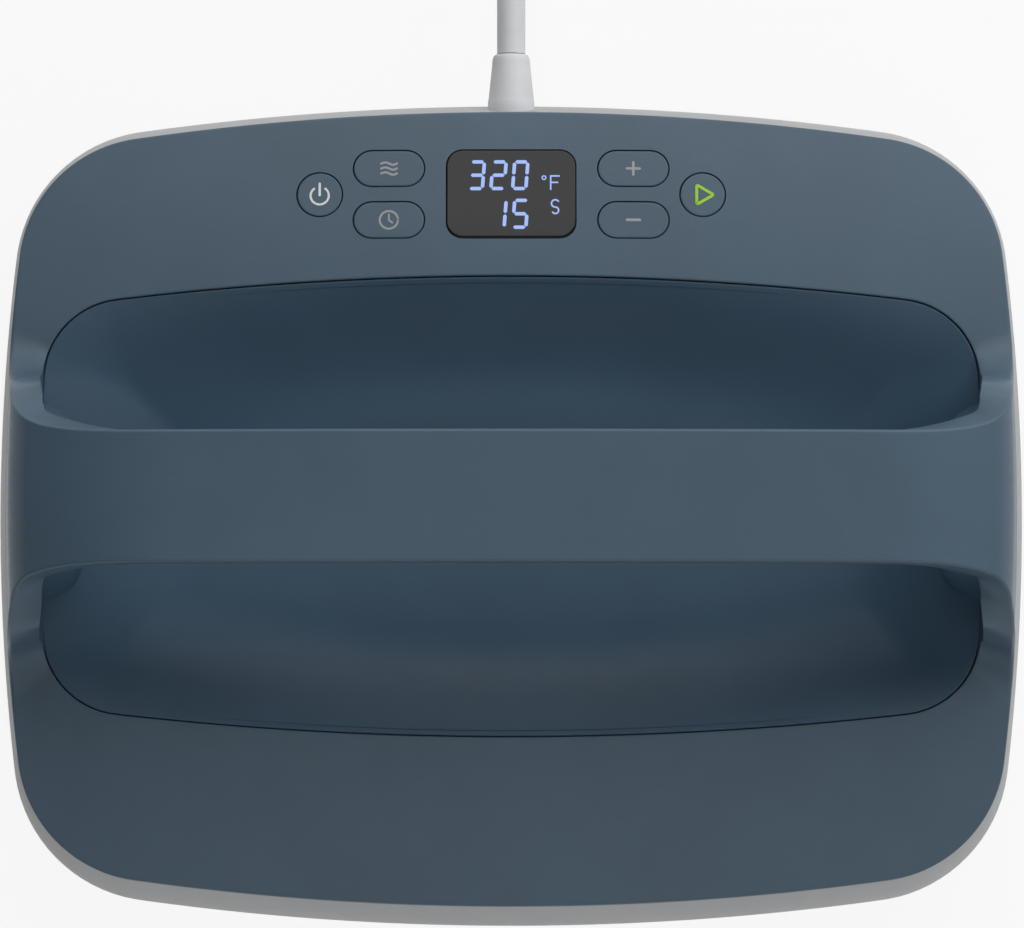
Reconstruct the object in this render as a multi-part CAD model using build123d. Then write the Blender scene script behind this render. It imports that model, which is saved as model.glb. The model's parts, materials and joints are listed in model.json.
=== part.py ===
from build123d import *
import os
from math import atan2, cos, degrees, exp, hypot, log, pi, radians, sin, sqrt, tan

# Handheld heat press. The plate's face lies on z = 0, +X runs along the handle,
# +Y points to the back, where the cord leaves, and all sizes are in millimetres.

# Plan shapes: side arcs, end arcs and corner arcs that run into them
SIDE_RADIUS = 723.0
END_RADIUS = 891.0
BASE_HALF_X = 169.9
BASE_HALF_Y = 136.5
BASE_CORNER = 48.6
COVER_HALF_X = 166.6
COVER_HALF_Y = 130.9
COVER_CORNER = 44.0
PLATE_HALF_X = 152.4
PLATE_HALF_Y = 127.0
PLATE_CORNER = 34.0
RECESS_HALF_X = 155.0
RECESS_HALF_Y = 75.8
RECESS_SIDE_RADIUS = 700.0
RECESS_END_RADIUS = 1120.0
RECESS_CORNER = 27.0

# Base housing
WALL = 2.6
BASE_BOTTOM = 4.0
BASE_FLOOR = 2.6
BELLY_HEIGHT = 12.0
BASE_TUCK = 6.0
PARTING_HEIGHT = 45.0
LIP_HEIGHT = 2.2
LIP_ROOT = 4.0
LIP_WALL = 1.6
LIP_GAP = 0.3
PLATE_GAP = 1.8

# Deck of the top cover: a shallow barrel
DECK_PEAK = 66.0
DECK_RADIUS_X = 1800.0
DECK_RADIUS_Y = 560.0
RECESS_RIM_DEPTH = 9.0

# Handle: an arch seen from the front, with legs that flare towards the deck
HANDLE_TOP = 124.0
HANDLE_CROWN = 1700.0
HANDLE_CORNER = 24.0
HANDLE_INNER_CORNER = 17.0
HANDLE_THICKNESS = 24.0
HANDLE_SPLIT = 10.4
HANDLE_HALF_DEPTH = 21.1
HANDLE_CENTRE_Y = -0.8
HANDLE_SEAM = 0.2
HANDLE_STEP = 0.9
HANDLE_SKIN = 3.0
HANDLE_ROUND = 7.0
FLANK_X = 166.2
FLANK_HEIGHT = 50.0
FLANK_LEAN = 8.0
FLARE_START_X = 136.0
FLARE_START_Z = 118.0
FLARE_PER_X = 0.35
FLARE_PER_Z = 0.20
FLARE_RATE = 0.77
FLARE_OFFSET = 5.0
FLARE_SOFTNESS = 2.5
FOOT_FILLET = 28.0

# Dished liner of the recess
LINER_GAP = 0.5
LINER_WALL = 2.6
LINER_SKIRT = 7.0
BOWL_FLOOR = 43.0
BOWL_RUN = 39.0
BOWL_RUN_ENDS = 21.0
RIM_DROP = 0.4
FOOT_GAP = 0.3

# Heat stack
PLATE_THICKNESS = 10.0
ELEMENT_RADIUS = 3.2
ELEMENT_GAP = 0.3
ELEMENT_BEND = 14.0
BLANKET_BOTTOM = 13.9
BLANKET_THICKNESS = 8.1
SHIELD_GAP = 0.3
SHIELD_SHEET = 1.0
POST_RADIUS = 4.0
POST_GAP = 0.5
CHASSIS_BOTTOM = 26.0
CHASSIS_THICKNESS = 2.5
CHASSIS_GAP = 0.8
SEAL_THICKNESS = 2.4

# Control panel
PANEL_Y = 103.2
KEY_RADIUS = 7.35
KEY_LENGTH = 23.2
KEY_WIDTH = 12.1
ROUND_KEY_X = 63.0
PILL_KEY_X = 40.2
PILL_KEY_Y = 8.8
KEY_GAP = 0.4
KEY_DROP = 0.1
KEY_FLANGE = 1.2
KEY_TRAVEL = 0.6
STEM_RADIUS = 1.6
SWITCH_SIZE = 6.0
SWITCH_HEIGHT = 3.4
BOARD_DROP = 12.0
BOARD_THICKNESS = 1.6
LENS_LENGTH = 42.4
LENS_WIDTH = 30.0
LENS_CORNER = 5.3
LENS_THICKNESS = 2.2
LENS_GAP = 0.3
LEDGE = 1.6

# Screws
SCREW_RADIUS = 1.5
SCREW_HEAD_RADIUS = 3.0
SCREW_HEAD = 2.2
SCREW_CLEARANCE = 0.3
COVER_BOSS_RADIUS = 4.8
COVER_SCREW_HEIGHT = 22.0
COVER_SCREW_REACH = 18.0
BOSS_SPLIT = 31.0
BOSS_SHOULDER = 6.0
SHOULDER_HEIGHT = 5.0

# Cord
CORD_RADIUS = 4.7
CORD_HEIGHT = 33.6
BOOT_RADIUS = 7.7
BOOT_SHOULDER = 6.3
BOOT_SHOULDER_Y = 149.0
BOOT_END_Y = 152.0
BOOT_FLANGE_RADIUS = 9.6
BOOT_FLANGE_Y = 128.4
BOOT_FLANGE = 2.6
BOOT_HOLE_GAP = 0.3
COIL_PITCH = 12.0
COIL_LAYER = 10.0
COIL_START_RADIUS = 67.6
COIL_LIFT = 1.2
COIL_CENTRE_Y = 266.0


class Outline:
    """A rounded plan shape of two side arcs, two end arcs and four corner arcs, all tangent."""

    def __init__(self, half_x, half_y, corner, side=SIDE_RADIUS, end=END_RADIUS):
        self.half_x = half_x
        self.half_y = half_y
        self.corner = corner
        self.side = side
        self.end = end
        side_centre = half_x - side
        end_centre = half_y - end
        to_side = side - corner
        to_end = end - corner
        apart = hypot(side_centre, end_centre)
        along = (to_side**2 - to_end**2 + apart**2) / (2 * apart)
        across = sqrt(to_side**2 - along**2)
        ux = -side_centre / apart
        uy = end_centre / apart
        self.cx = side_centre + along * ux - across * uy
        self.cy = along * uy + across * ux
        grow = side / to_side
        self.side_end = (side_centre + (self.cx - side_centre) * grow, self.cy * grow)
        grow = end / to_end
        self.end_end = (self.cx * grow, end_centre + (self.cy - end_centre) * grow)

    def inset(self, distance):
        """The parallel outline that lies this far inside."""
        return Outline(
            self.half_x - distance,
            self.half_y - distance,
            self.corner - distance,
            self.side - distance,
            self.end - distance,
        )

    def corner_point(self):
        """The middle of the corner arc in the first quarter."""
        reach = self.corner / sqrt(2)
        return (self.cx + reach, self.cy + reach)

    def side_x(self, y):
        """Half the width at this y, on the side arc."""
        return self.half_x - self.side + sqrt(self.side**2 - y**2)

    def depth_inside(self, x, y):
        """How far a point lies inside the outline, negative outside it."""
        x, y = abs(x), abs(y)
        side_centre = self.half_x - self.side
        end_centre = self.half_y - self.end
        angle = atan2(y - self.cy, x - self.cx)
        low = atan2(self.side_end[1] - self.cy, self.side_end[0] - self.cx)
        high = atan2(self.end_end[1] - self.cy, self.end_end[0] - self.cx)
        if low <= angle <= high:
            return self.corner - hypot(x - self.cx, y - self.cy)
        return min(
            self.side - hypot(x - side_centre, y),
            self.end - hypot(x, y - end_centre),
        )

    def face(self, z):
        """The outline as a flat face at this height."""
        sx, sy = self.side_end
        ex, ey = self.end_end
        mx, my = self.corner_point()
        edges = [
            ThreePointArc((sx, -sy, z), (self.half_x, 0, z), (sx, sy, z)),
            ThreePointArc((sx, sy, z), (mx, my, z), (ex, ey, z)),
            ThreePointArc((ex, ey, z), (0, self.half_y, z), (-ex, ey, z)),
            ThreePointArc((-ex, ey, z), (-mx, my, z), (-sx, sy, z)),
            ThreePointArc((-sx, sy, z), (-self.half_x, 0, z), (-sx, -sy, z)),
            ThreePointArc((-sx, -sy, z), (-mx, -my, z), (-ex, -ey, z)),
            ThreePointArc((-ex, -ey, z), (0, -self.half_y, z), (ex, -ey, z)),
            ThreePointArc((ex, -ey, z), (mx, -my, z), (sx, -sy, z)),
        ]
        return Face(Wire(edges))

    def prism(self, low, high):
        """The outline raised from one height to another."""
        return extrude(self.face(low), high - low, dir=(0, 0, 1))


BASE = Outline(BASE_HALF_X, BASE_HALF_Y, BASE_CORNER)
COVER = Outline(COVER_HALF_X, COVER_HALF_Y, COVER_CORNER)
PLATE = Outline(PLATE_HALF_X, PLATE_HALF_Y, PLATE_CORNER)
RECESS = Outline(
    RECESS_HALF_X, RECESS_HALF_Y, RECESS_CORNER, RECESS_SIDE_RADIUS, RECESS_END_RADIUS
)
TALL = 200.0


def cylinder(x, y, low, high, radius):
    """An upright round bar."""
    return Pos(x, y, (low + high) / 2) * Cylinder(radius, high - low)


def block(x, y, low, size_x, size_y, height):
    """An upright box, centred on x and y, that stands at a height."""
    return Pos(x, y, low + height / 2) * Box(size_x, size_y, height)


def union(shapes):
    """All the shapes in one."""
    return Part() + list(shapes)


def mirrored(points):
    """Each point with its mirror images in both upright planes, once each."""
    return sorted({(sx * x, sy * y) for x, y in points for sx in (1, -1) for sy in (1, -1)})


# Deck surface


def deck_height(x, y, drop=0.0):
    """The height of the deck's barrel, or of the parallel surface that lies lower."""
    across = DECK_RADIUS_Y - drop
    fall = across - sqrt(across**2 - y**2)
    reach = DECK_RADIUS_X - drop - fall
    return DECK_PEAK - DECK_RADIUS_X + sqrt(reach**2 - x**2)


def under_deck(drop=0.0):
    """Everything below the deck's surface, or below a parallel one that lies lower."""
    reach = BASE_HALF_Y + 20
    axis_z = DECK_PEAK - DECK_RADIUS_X
    top = DECK_PEAK - drop
    across = DECK_RADIUS_Y - drop
    edge = top - across + sqrt(across**2 - reach**2)
    profile = Face(
        Wire(
            [
                Line((0, -reach, axis_z), (0, reach, axis_z)),
                Line((0, reach, axis_z), (0, reach, edge)),
                ThreePointArc((0, reach, edge), (0, 0, top), (0, -reach, edge)),
                Line((0, -reach, edge), (0, -reach, axis_z)),
            ]
        )
    )
    half_turn = degrees((BASE_HALF_X + 30) / DECK_RADIUS_X)
    axis = Axis((0, 0, axis_z), (0, 1, 0))
    return revolve(profile.rotate(axis, -half_turn), axis, 2 * half_turn)


# Handle arch


class Arch:
    """The handle's front view at a depth below its outer face, as flank, corner and crown."""

    def __init__(self, depth, corner):
        self.lean = radians(FLANK_LEAN)
        self.crown = HANDLE_CROWN - depth
        self.crown_z = HANDLE_TOP - HANDLE_CROWN
        self.corner = corner
        self.foot_x = FLANK_X - depth * cos(self.lean)
        self.foot_z = FLANK_HEIGHT - depth * sin(self.lean)
        start_x = self.foot_x - corner * cos(self.lean)
        start_z = self.foot_z - corner * sin(self.lean)
        up_x, up_z = -sin(self.lean), cos(self.lean)
        b = start_x * up_x + (start_z - self.crown_z) * up_z
        c = start_x**2 + (start_z - self.crown_z) ** 2 - (self.crown - corner) ** 2
        rise = -b + sqrt(b * b - c)
        self.cx = start_x + rise * up_x
        self.cz = start_z + rise * up_z

    def flank_at(self, z):
        """Half the width of the flank at a height."""
        return self.foot_x - (z - self.foot_z) * tan(self.lean)

    def edges(self, foot):
        """The curve from the left foot over the top to the right foot, at this foot height."""
        flank_x = self.cx + self.corner * cos(self.lean)
        flank_z = self.cz + self.corner * sin(self.lean)
        turn = atan2(self.cx, self.cz - self.crown_z)
        crown_x = self.crown * sin(turn)
        crown_z = self.crown_z + self.crown * cos(turn)
        half = (pi / 2 - self.lean + turn) / 2
        mid_x = self.cx + self.corner * sin(half)
        mid_z = self.cz + self.corner * cos(half)
        top = self.crown_z + self.crown
        foot_x = self.flank_at(foot)
        return [
            Line((-foot_x, 0, foot), (-flank_x, 0, flank_z)),
            ThreePointArc((-flank_x, 0, flank_z), (-mid_x, 0, mid_z), (-crown_x, 0, crown_z)),
            ThreePointArc((-crown_x, 0, crown_z), (0, 0, top), (crown_x, 0, crown_z)),
            ThreePointArc((crown_x, 0, crown_z), (mid_x, 0, mid_z), (flank_x, 0, flank_z)),
            Line((flank_x, 0, flank_z), (foot_x, 0, foot)),
        ]


def arch_inside(arch, foot):
    """Everything under an arch, from a foot height up, as deep as the deck."""
    half = arch.flank_at(foot)
    wire = Wire(arch.edges(foot) + [Line((half, 0, foot), (-half, 0, foot))])
    slab = extrude(Face(wire), COVER_HALF_Y, dir=(0, 1, 0), both=True)
    return slab


def leg_half_depth(x, z):
    """Half the handle's depth, which grows down the corners and legs."""
    reach = FLARE_PER_X * (abs(x) - FLARE_START_X) + FLARE_PER_Z * (FLARE_START_Z - z)
    soft = FLARE_SOFTNESS * log(1 + exp((reach - FLARE_OFFSET) / FLARE_SOFTNESS))
    return HANDLE_HALF_DEPTH + FLARE_RATE * soft


def between_faces(inset):
    """Everything between the handle's front and back faces, moved in by an inset."""
    half_x, low, high = BASE_HALF_X + 5, 30.0, HANDLE_TOP + 6
    columns, rows = 41, 12
    xs = [-half_x + 2 * half_x * i / (columns - 1) for i in range(columns)]
    zs = [low + (high - low) * j / (rows - 1) for j in range(rows)]
    grid = [[Vector(x, leg_half_depth(x, z) - inset, z) for z in zs] for x in xs]
    back = Face.make_surface_from_array_of_points(grid, tol=0.01)
    solid = extrude(back, 2 * TALL, dir=(0, -1, 0))
    return Pos(0, HANDLE_CENTRE_Y, 0) * (solid & mirror(solid, Plane.XZ))


# Bowl of the recess


def bowl_height(x, y):
    """The height of the dished liner, which also runs on a little outside the rim."""
    run = BOWL_RUN + BOWL_RUN_ENDS * (x / RECESS_HALF_X) ** 2
    share = min(1.0, max(-0.6, RECESS.depth_inside(x, y) / run))
    rim = deck_height(x, y) - RIM_DROP
    return rim + (BOWL_FLOOR - rim) * sin(pi / 2 * share)


def bowl_block(lift, thickness):
    """The space below the bowl's surface, lifted, down to a thickness."""
    half_x, half_y = RECESS_HALF_X + 6, RECESS_HALF_Y + 6
    columns, rows = 53, 29
    xs = [-half_x + 2 * half_x * i / (columns - 1) for i in range(columns)]
    ys = [-half_y + 2 * half_y * j / (rows - 1) for j in range(rows)]
    grid = [[Vector(x, y, bowl_height(x, y) + lift) for y in ys] for x in xs]
    surface = Face.make_surface_from_array_of_points(grid, tol=0.02)
    return extrude(surface, thickness, dir=(0, 0, -1))


# Panel frame: flat on the deck at the middle of the controls
PANEL_SLOPE = degrees(atan2(PANEL_Y, DECK_RADIUS_Y))
PANEL = Plane(
    origin=(0, PANEL_Y, deck_height(0, PANEL_Y)),
    x_dir=(1, 0, 0),
    z_dir=(0, sin(radians(PANEL_SLOPE)), cos(radians(PANEL_SLOPE))),
)
PILLS = {
    "temperature": (-PILL_KEY_X, PILL_KEY_Y),
    "timer": (-PILL_KEY_X, -PILL_KEY_Y),
    "plus": (PILL_KEY_X, PILL_KEY_Y),
    "minus": (PILL_KEY_X, -PILL_KEY_Y),
}
ROUNDS = {"power": (-ROUND_KEY_X, 0.0), "start": (ROUND_KEY_X, 0.0)}
KEYS = {**PILLS, **ROUNDS}


def panel_bar(sketch, low, high):
    """A sketch raised square to the panel, between two heights above it."""
    return extrude(PANEL.offset(low) * sketch, high - low)


def key_shape(name, grow=0.0):
    """The plan shape of a key, grown by a clearance or flange."""
    x, y = KEYS[name]
    if name in ROUNDS:
        return Pos(x, y) * Circle(KEY_RADIUS + grow)
    return Pos(x, y) * SlotOverall(KEY_LENGTH + 2 * grow, KEY_WIDTH + 2 * grow)


def lens_shape(grow=0.0):
    """The plan shape of the display lens, grown by a clearance or ledge."""
    return RectangleRounded(
        LENS_LENGTH + 2 * grow, LENS_WIDTH + 2 * grow, LENS_CORNER + grow
    )


# Screw places
SIDE_BOSS_Y = 50.0


def boss_places():
    """Where the cover screws stand, between the plate and the base's wall."""
    inner = BASE.inset(BASE_TUCK)
    outer = PLATE.inset(-PLATE_GAP)
    side = (inner.side_x(SIDE_BOSS_Y) + outer.side_x(SIDE_BOSS_Y)) / 2
    ix, iy = inner.corner_point()
    ox, oy = outer.corner_point()
    return mirrored([(side, SIDE_BOSS_Y), ((ix + ox) / 2, (iy + oy) / 2)])


BOSSES = boss_places()
POSTS = [(-102, 74), (102, 74), (-102, -74), (102, -74), (-30, 74), (-30, -74), (-102, 0), (104, 0)]
HANDLE_SCREWS = [-105.0, -40.0, 40.0, 105.0]
CHASSIS_TOP = CHASSIS_BOTTOM + CHASSIS_THICKNESS


def screw(x, y, head_z, reach, upward=True):
    """A pan-head screw: its shank starts at head_z and runs up or down for its reach."""
    sign = 1 if upward else -1
    head_low = head_z - SCREW_HEAD if upward else head_z
    shank_low = min(head_z, head_z + sign * reach)
    drive = cylinder(x, y, head_low - 0.01, head_low + 1.2, 1.3)
    if not upward:
        drive = cylinder(x, y, head_low + 1.0, head_low + SCREW_HEAD + 0.01, 1.3)
    head = cylinder(x, y, head_low, head_low + SCREW_HEAD, SCREW_HEAD_RADIUS)
    shank = cylinder(x, y, shank_low, shank_low + reach, SCREW_RADIUS)
    return head + shank - drive


# Base housing


def skirt_outline(z, inset=0.0):
    """The base's outer shape at a height: fullest at the belly, drawn in above and below."""
    if z < BELLY_HEIGHT:
        share = (BELLY_HEIGHT - z) / (BELLY_HEIGHT - BASE_BOTTOM)
        return BASE.inset(BASE_TUCK * share**2.2 + inset)
    share = ((z - BELLY_HEIGHT) / (PARTING_HEIGHT - BELLY_HEIGHT)) ** 1.7
    return Outline(
        BASE_HALF_X + (COVER_HALF_X - BASE_HALF_X) * share - inset,
        BASE_HALF_Y + (COVER_HALF_Y - BASE_HALF_Y) * share - inset,
        BASE_CORNER + (COVER_CORNER - BASE_CORNER) * share - inset,
        SIDE_RADIUS - inset,
        END_RADIUS - inset,
    )


def skirt(inset, low, high):
    """The belly of the base as a solid between two heights."""
    span = PARTING_HEIGHT - BELLY_HEIGHT
    tuck = BELLY_HEIGHT - BASE_BOTTOM
    levels = [BELLY_HEIGHT - tuck * share for share in (1.0, 0.85, 0.65, 0.4, 0.0)]
    levels += [BELLY_HEIGHT + span * share for share in (0.2, 0.4, 0.6, 0.8, 1.0)]
    solid = loft([skirt_outline(z, inset).face(z) for z in levels], ruled=True)
    if high > PARTING_HEIGHT:
        solid += skirt_outline(PARTING_HEIGHT, inset).prism(PARTING_HEIGHT, high)
    return solid & block(0, 0, low, 2 * TALL, 2 * TALL, high - low)


def make_base_housing():
    shell = skirt(0, BASE_BOTTOM, PARTING_HEIGHT)
    shell -= skirt(WALL, BASE_BOTTOM + BASE_FLOOR, PARTING_HEIGHT + 1)
    lip_outer = COVER.inset(WALL + LIP_GAP)
    lip_room = lip_outer.inset(LIP_WALL).prism(PARTING_HEIGHT - LIP_ROOT - 1, TALL)
    lip = lip_outer.prism(PARTING_HEIGHT - LIP_ROOT, PARTING_HEIGHT + LIP_HEIGHT)
    lip += COVER.inset(WALL / 2).prism(PARTING_HEIGHT - LIP_ROOT, PARTING_HEIGHT)
    shell += (lip - lip_room) & under_deck(WALL + LIP_GAP)
    bosses = union(cylinder(x, y, BASE_BOTTOM, BOSS_SPLIT, COVER_BOSS_RADIUS) for x, y in BOSSES)
    shoulder = CHASSIS_BOTTOM - SHOULDER_HEIGHT
    bosses += union(cylinder(x, y, shoulder, CHASSIS_BOTTOM, BOSS_SHOULDER) for x, y in BOSSES)
    shell += bosses & skirt(WALL / 2, BASE_BOTTOM, PARTING_HEIGHT)
    shell -= PLATE.inset(-PLATE_GAP).prism(BASE_BOTTOM - 1, PLATE_THICKNESS + 1)
    room = skirt(WALL, BOSS_SPLIT, PARTING_HEIGHT + 5)
    head = SCREW_HEAD_RADIUS + SCREW_CLEARANCE
    for x, y in BOSSES:
        shell -= cylinder(x, y, BASE_BOTTOM - 1, COVER_SCREW_HEIGHT, head)
        shell -= cylinder(x, y, BASE_BOTTOM, PARTING_HEIGHT + 5, SCREW_RADIUS + SCREW_CLEARANCE)
        shell -= cylinder(x, y, BOSS_SPLIT, PARTING_HEIGHT + 5, COVER_BOSS_RADIUS + LIP_GAP) & room
    axis = Pos(0, BASE_HALF_Y, CORD_HEIGHT) * Rot(90, 0, 0)
    shell -= axis * Cylinder(BOOT_RADIUS + BOOT_HOLE_GAP, 40)
    pocket = axis * Cylinder(BOOT_FLANGE_RADIUS + BOOT_HOLE_GAP, 40)
    return shell - (pocket & skirt(WALL, BASE_BOTTOM, PARTING_HEIGHT))


# Top cover


def foot_fillet(side, end):
    """The hollow curve between a leg's face and the side strip of the deck."""
    x = COVER_HALF_X - 6
    centre = HANDLE_CENTRE_Y
    low, high = 64.0, 88.0
    leg_low = end * centre + leg_half_depth(x, low)
    leg_high = end * centre + leg_half_depth(x, high)
    slope = atan2(high - low, leg_high - leg_low)
    meet_z = deck_height(x, leg_low + 2)
    meet_y = leg_low + (meet_z - low) / tan(slope)
    down = atan2(deck_height(x, 60.0) - deck_height(x, 40.0), 20.0)
    half = (slope - down) / 2
    length = FOOT_FILLET / tan(half)
    start = (meet_y + length * cos(slope), meet_z + length * sin(slope))
    finish = (meet_y + length * cos(down), meet_z + length * sin(down))
    lean = (slope + down) / 2
    away = FOOT_FILLET / sin(half) - FOOT_FILLET
    middle = (meet_y + away * cos(lean), meet_z + away * sin(lean))
    inner = (meet_y - 6 * cos(lean), meet_z - 6 * sin(lean))
    arc = ThreePointArc((0, *start), (0, *middle), (0, *finish))
    wire = Wire([arc, Line((0, *finish), (0, *inner)), Line((0, *inner), (0, *start))])
    wedge = extrude(Face(wire), 30, dir=(1, 0, 0))
    wedge = Pos(RECESS_HALF_X - 12, 0, 0) * wedge
    if side < 0:
        wedge = mirror(wedge, Plane.YZ)
    return mirror(wedge, Plane.XZ) if end < 0 else wedge


def make_top_cover():
    outer = Arch(0, HANDLE_CORNER)
    split = Arch(HANDLE_SPLIT, HANDLE_CORNER - HANDLE_SPLIT)
    skin = Arch(WALL, HANDLE_CORNER - WALL)
    deck = COVER.prism(PARTING_HEIGHT, TALL) & under_deck()
    hollow = COVER.inset(WALL).prism(PARTING_HEIGHT - 1, TALL) & under_deck(WALL)
    rim = RECESS.inset(-WALL).prism(PARTING_HEIGHT, TALL) & under_deck()
    rim -= under_deck(RECESS_RIM_DEPTH)
    hole = RECESS.prism(PARTING_HEIGHT - 2, TALL)
    cover = deck - hollow + rim - hole
    faces = between_faces(0)
    legs = (arch_inside(outer, FLANK_HEIGHT + 2) - arch_inside(split, 40)) & faces
    wedges = union(foot_fillet(side, end) for side in (1, -1) for end in (1, -1))
    wedges = (wedges & arch_inside(outer, FLANK_HEIGHT) & COVER.prism(PARTING_HEIGHT, TALL)) - hole
    cover += wedges
    cover += legs & COVER.prism(PARTING_HEIGHT, TALL)
    channel = (arch_inside(skin, PARTING_HEIGHT - 1) - arch_inside(split, 40)) & between_faces(WALL)
    cover -= channel
    for x in HANDLE_SCREWS:
        boss = cylinder(x, HANDLE_CENTRE_Y, 100, 130, COVER_BOSS_RADIUS) & arch_inside(outer, 60)
        boss -= arch_inside(split, 40)
        cover += boss
        cover -= cylinder(x, HANDLE_CENTRE_Y, 90, HANDLE_TOP - 6, SCREW_RADIUS + 0.05)
    posts = union(cylinder(x, y, BOSS_SPLIT, TALL, COVER_BOSS_RADIUS) for x, y in BOSSES)
    cover += posts & under_deck(1) & skirt(WALL + LIP_GAP, BOSS_SPLIT, TALL)
    reach = COVER_SCREW_HEIGHT + COVER_SCREW_REACH + 1
    for x, y in BOSSES:
        cover -= cylinder(x, y, BOSS_SPLIT - 1, reach, SCREW_RADIUS + 0.05)
    ledge = panel_bar(lens_shape(LEDGE), -LENS_THICKNESS - 2.2, 0) & under_deck(LENS_THICKNESS)
    ledge -= panel_bar(lens_shape(-LEDGE), -20, 5)
    for x, y in BOARD_PILLARS:
        pillar = panel_bar(Pos(x, y) * Circle(3), -BOARD_DROP, 0) & under_deck(1)
        pillar -= panel_bar(Pos(x, y) * Circle(1.2), -BOARD_DROP - 1, -BOARD_DROP + 7)
        cover += pillar
    cover += ledge
    cover -= panel_bar(lens_shape(LENS_GAP), -LENS_THICKNESS - 1, 5) - under_deck(LENS_THICKNESS)
    for name in KEYS:
        cover -= panel_bar(key_shape(name, KEY_GAP), -20, 5)
    return cover


# Handle underside and liner


def make_handle_underside():
    top = HANDLE_SPLIT + HANDLE_SEAM
    outer = Arch(top, HANDLE_CORNER - top)
    inner = Arch(HANDLE_THICKNESS, HANDLE_INNER_CORNER)
    floor = Arch(HANDLE_THICKNESS - HANDLE_SKIN, HANDLE_INNER_CORNER + 2)
    foot = BOWL_FLOOR - 8
    solid = (arch_inside(outer, foot) - arch_inside(inner, foot - 1)) & between_faces(HANDLE_STEP)
    edges = [
        edge
        for edge in solid.edges()
        if all(abs(p.Y) > 12 for p in (edge @ 0.2, edge @ 0.8)) and on_arch(edge, inner)
    ]
    solid = solid.fillet(HANDLE_ROUND, edges)
    channel = arch_inside(outer, foot - 1) - arch_inside(floor, foot - 2)
    channel &= between_faces(HANDLE_STEP + HANDLE_SKIN)
    solid -= channel
    for x in HANDLE_SCREWS:
        boss = cylinder(x, HANDLE_CENTRE_Y, 90, 130, COVER_BOSS_RADIUS)
        boss = boss & arch_inside(outer, 60) - arch_inside(floor, 50)
        solid += boss
        shoulder = HANDLE_TOP - HANDLE_THICKNESS + 6
        solid -= cylinder(x, HANDLE_CENTRE_Y, 80, shoulder, SCREW_HEAD_RADIUS + SCREW_CLEARANCE)
        solid -= cylinder(x, HANDLE_CENTRE_Y, 80, 130, SCREW_RADIUS + SCREW_CLEARANCE)
    return solid - bowl_block(FOOT_GAP, 60)


def on_arch(edge, arch):
    """Whether an edge follows an arch's curve in the front view."""
    for share in (0.1, 0.5, 0.9):
        p = edge @ share
        x = abs(p.X)
        crown = abs(hypot(x, p.Z - arch.crown_z) - arch.crown)
        corner = abs(hypot(x - arch.cx, p.Z - arch.cz) - arch.corner)
        flank = abs(x - arch.flank_at(p.Z))
        if min(crown, corner, flank) > 0.05:
            return False
    return True


def make_recess_liner():
    inside = RECESS.inset(LINER_GAP)
    tray = bowl_block(0, LINER_WALL) & inside.prism(20, TALL)
    ring = inside.prism(20, TALL) - inside.inset(LINER_WALL - 0.4).prism(10, TALL + 10)
    return tray + (bowl_block(0, LINER_WALL + LINER_SKIRT) & ring)


# Heat stack
ELEMENT_ROUTE = [
    (98, -98, 33),
    (98, -98, PLATE_THICKNESS),
    (-124, -98, PLATE_THICKNESS),
    (-124, 98, PLATE_THICKNESS),
    (124, 98, PLATE_THICKNESS),
    (124, -50, PLATE_THICKNESS),
    (-80, -50, PLATE_THICKNESS),
    (-80, 50, PLATE_THICKNESS),
    (84, 50, PLATE_THICKNESS),
    (84, 5, PLATE_THICKNESS),
    (84, 5, 33),
]
ELEMENT_PINS = [(98, -98), (84, 5)]


def tube(points, radius, bends):
    """A round bar along straight runs that bend in tangent arcs."""
    path = FilletPolyline(*points, radius=bends)
    start = Plane(origin=path @ 0, z_dir=path % 0)
    return sweep(start * Circle(radius), path)


def make_heating_element():
    return tube(ELEMENT_ROUTE, ELEMENT_RADIUS, [8] + [ELEMENT_BEND] * 7 + [8])


def make_heat_plate():
    plate = PLATE.prism(0, PLATE_THICKNESS)
    low = plate.edges().filter_by(lambda edge: (edge @ 0.5).Z < 0.1)
    plate = plate.fillet(1.2, low)
    groove = tube(ELEMENT_ROUTE, ELEMENT_RADIUS + ELEMENT_GAP, [8] + [ELEMENT_BEND] * 7 + [8])
    plate -= groove
    for x, y in POSTS:
        plate -= cylinder(x, y, PLATE_THICKNESS - 6, PLATE_THICKNESS + 1, SCREW_RADIUS + 0.05)
    return plate


def stack_holes(low, high):
    """The holes that posts and element ends need in a layer of the heat stack."""
    holes = [cylinder(x, y, low, high, POST_RADIUS + POST_GAP) for x, y in POSTS]
    pins = [cylinder(x, y, low, high, 2.2 * ELEMENT_RADIUS) for x, y in ELEMENT_PINS]
    runs = [
        block(pin[0] - 9, pin[1], low, 18, 2.8 * ELEMENT_RADIUS, high - low)
        for pin in ELEMENT_PINS[:1]
    ]
    runs += [
        block(pin[0], pin[1] + 9, low, 2.8 * ELEMENT_RADIUS, 18, high - low)
        for pin in ELEMENT_PINS[1:]
    ]
    return union(holes + pins + runs)


def make_insulation_blanket():
    top = BLANKET_BOTTOM + BLANKET_THICKNESS
    return PLATE.inset(5).prism(BLANKET_BOTTOM, top) - stack_holes(BLANKET_BOTTOM - 1, top + 1)


def make_heat_shield():
    under = BLANKET_BOTTOM + BLANKET_THICKNESS + SHIELD_GAP
    pan = PLATE.inset(3).prism(PLATE_THICKNESS + SHIELD_GAP, under + SHIELD_SHEET)
    pan -= PLATE.inset(3 + SHIELD_SHEET).prism(PLATE_THICKNESS - 1, under)
    return pan - stack_holes(under - 1, under + SHIELD_SHEET + 1)


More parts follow.
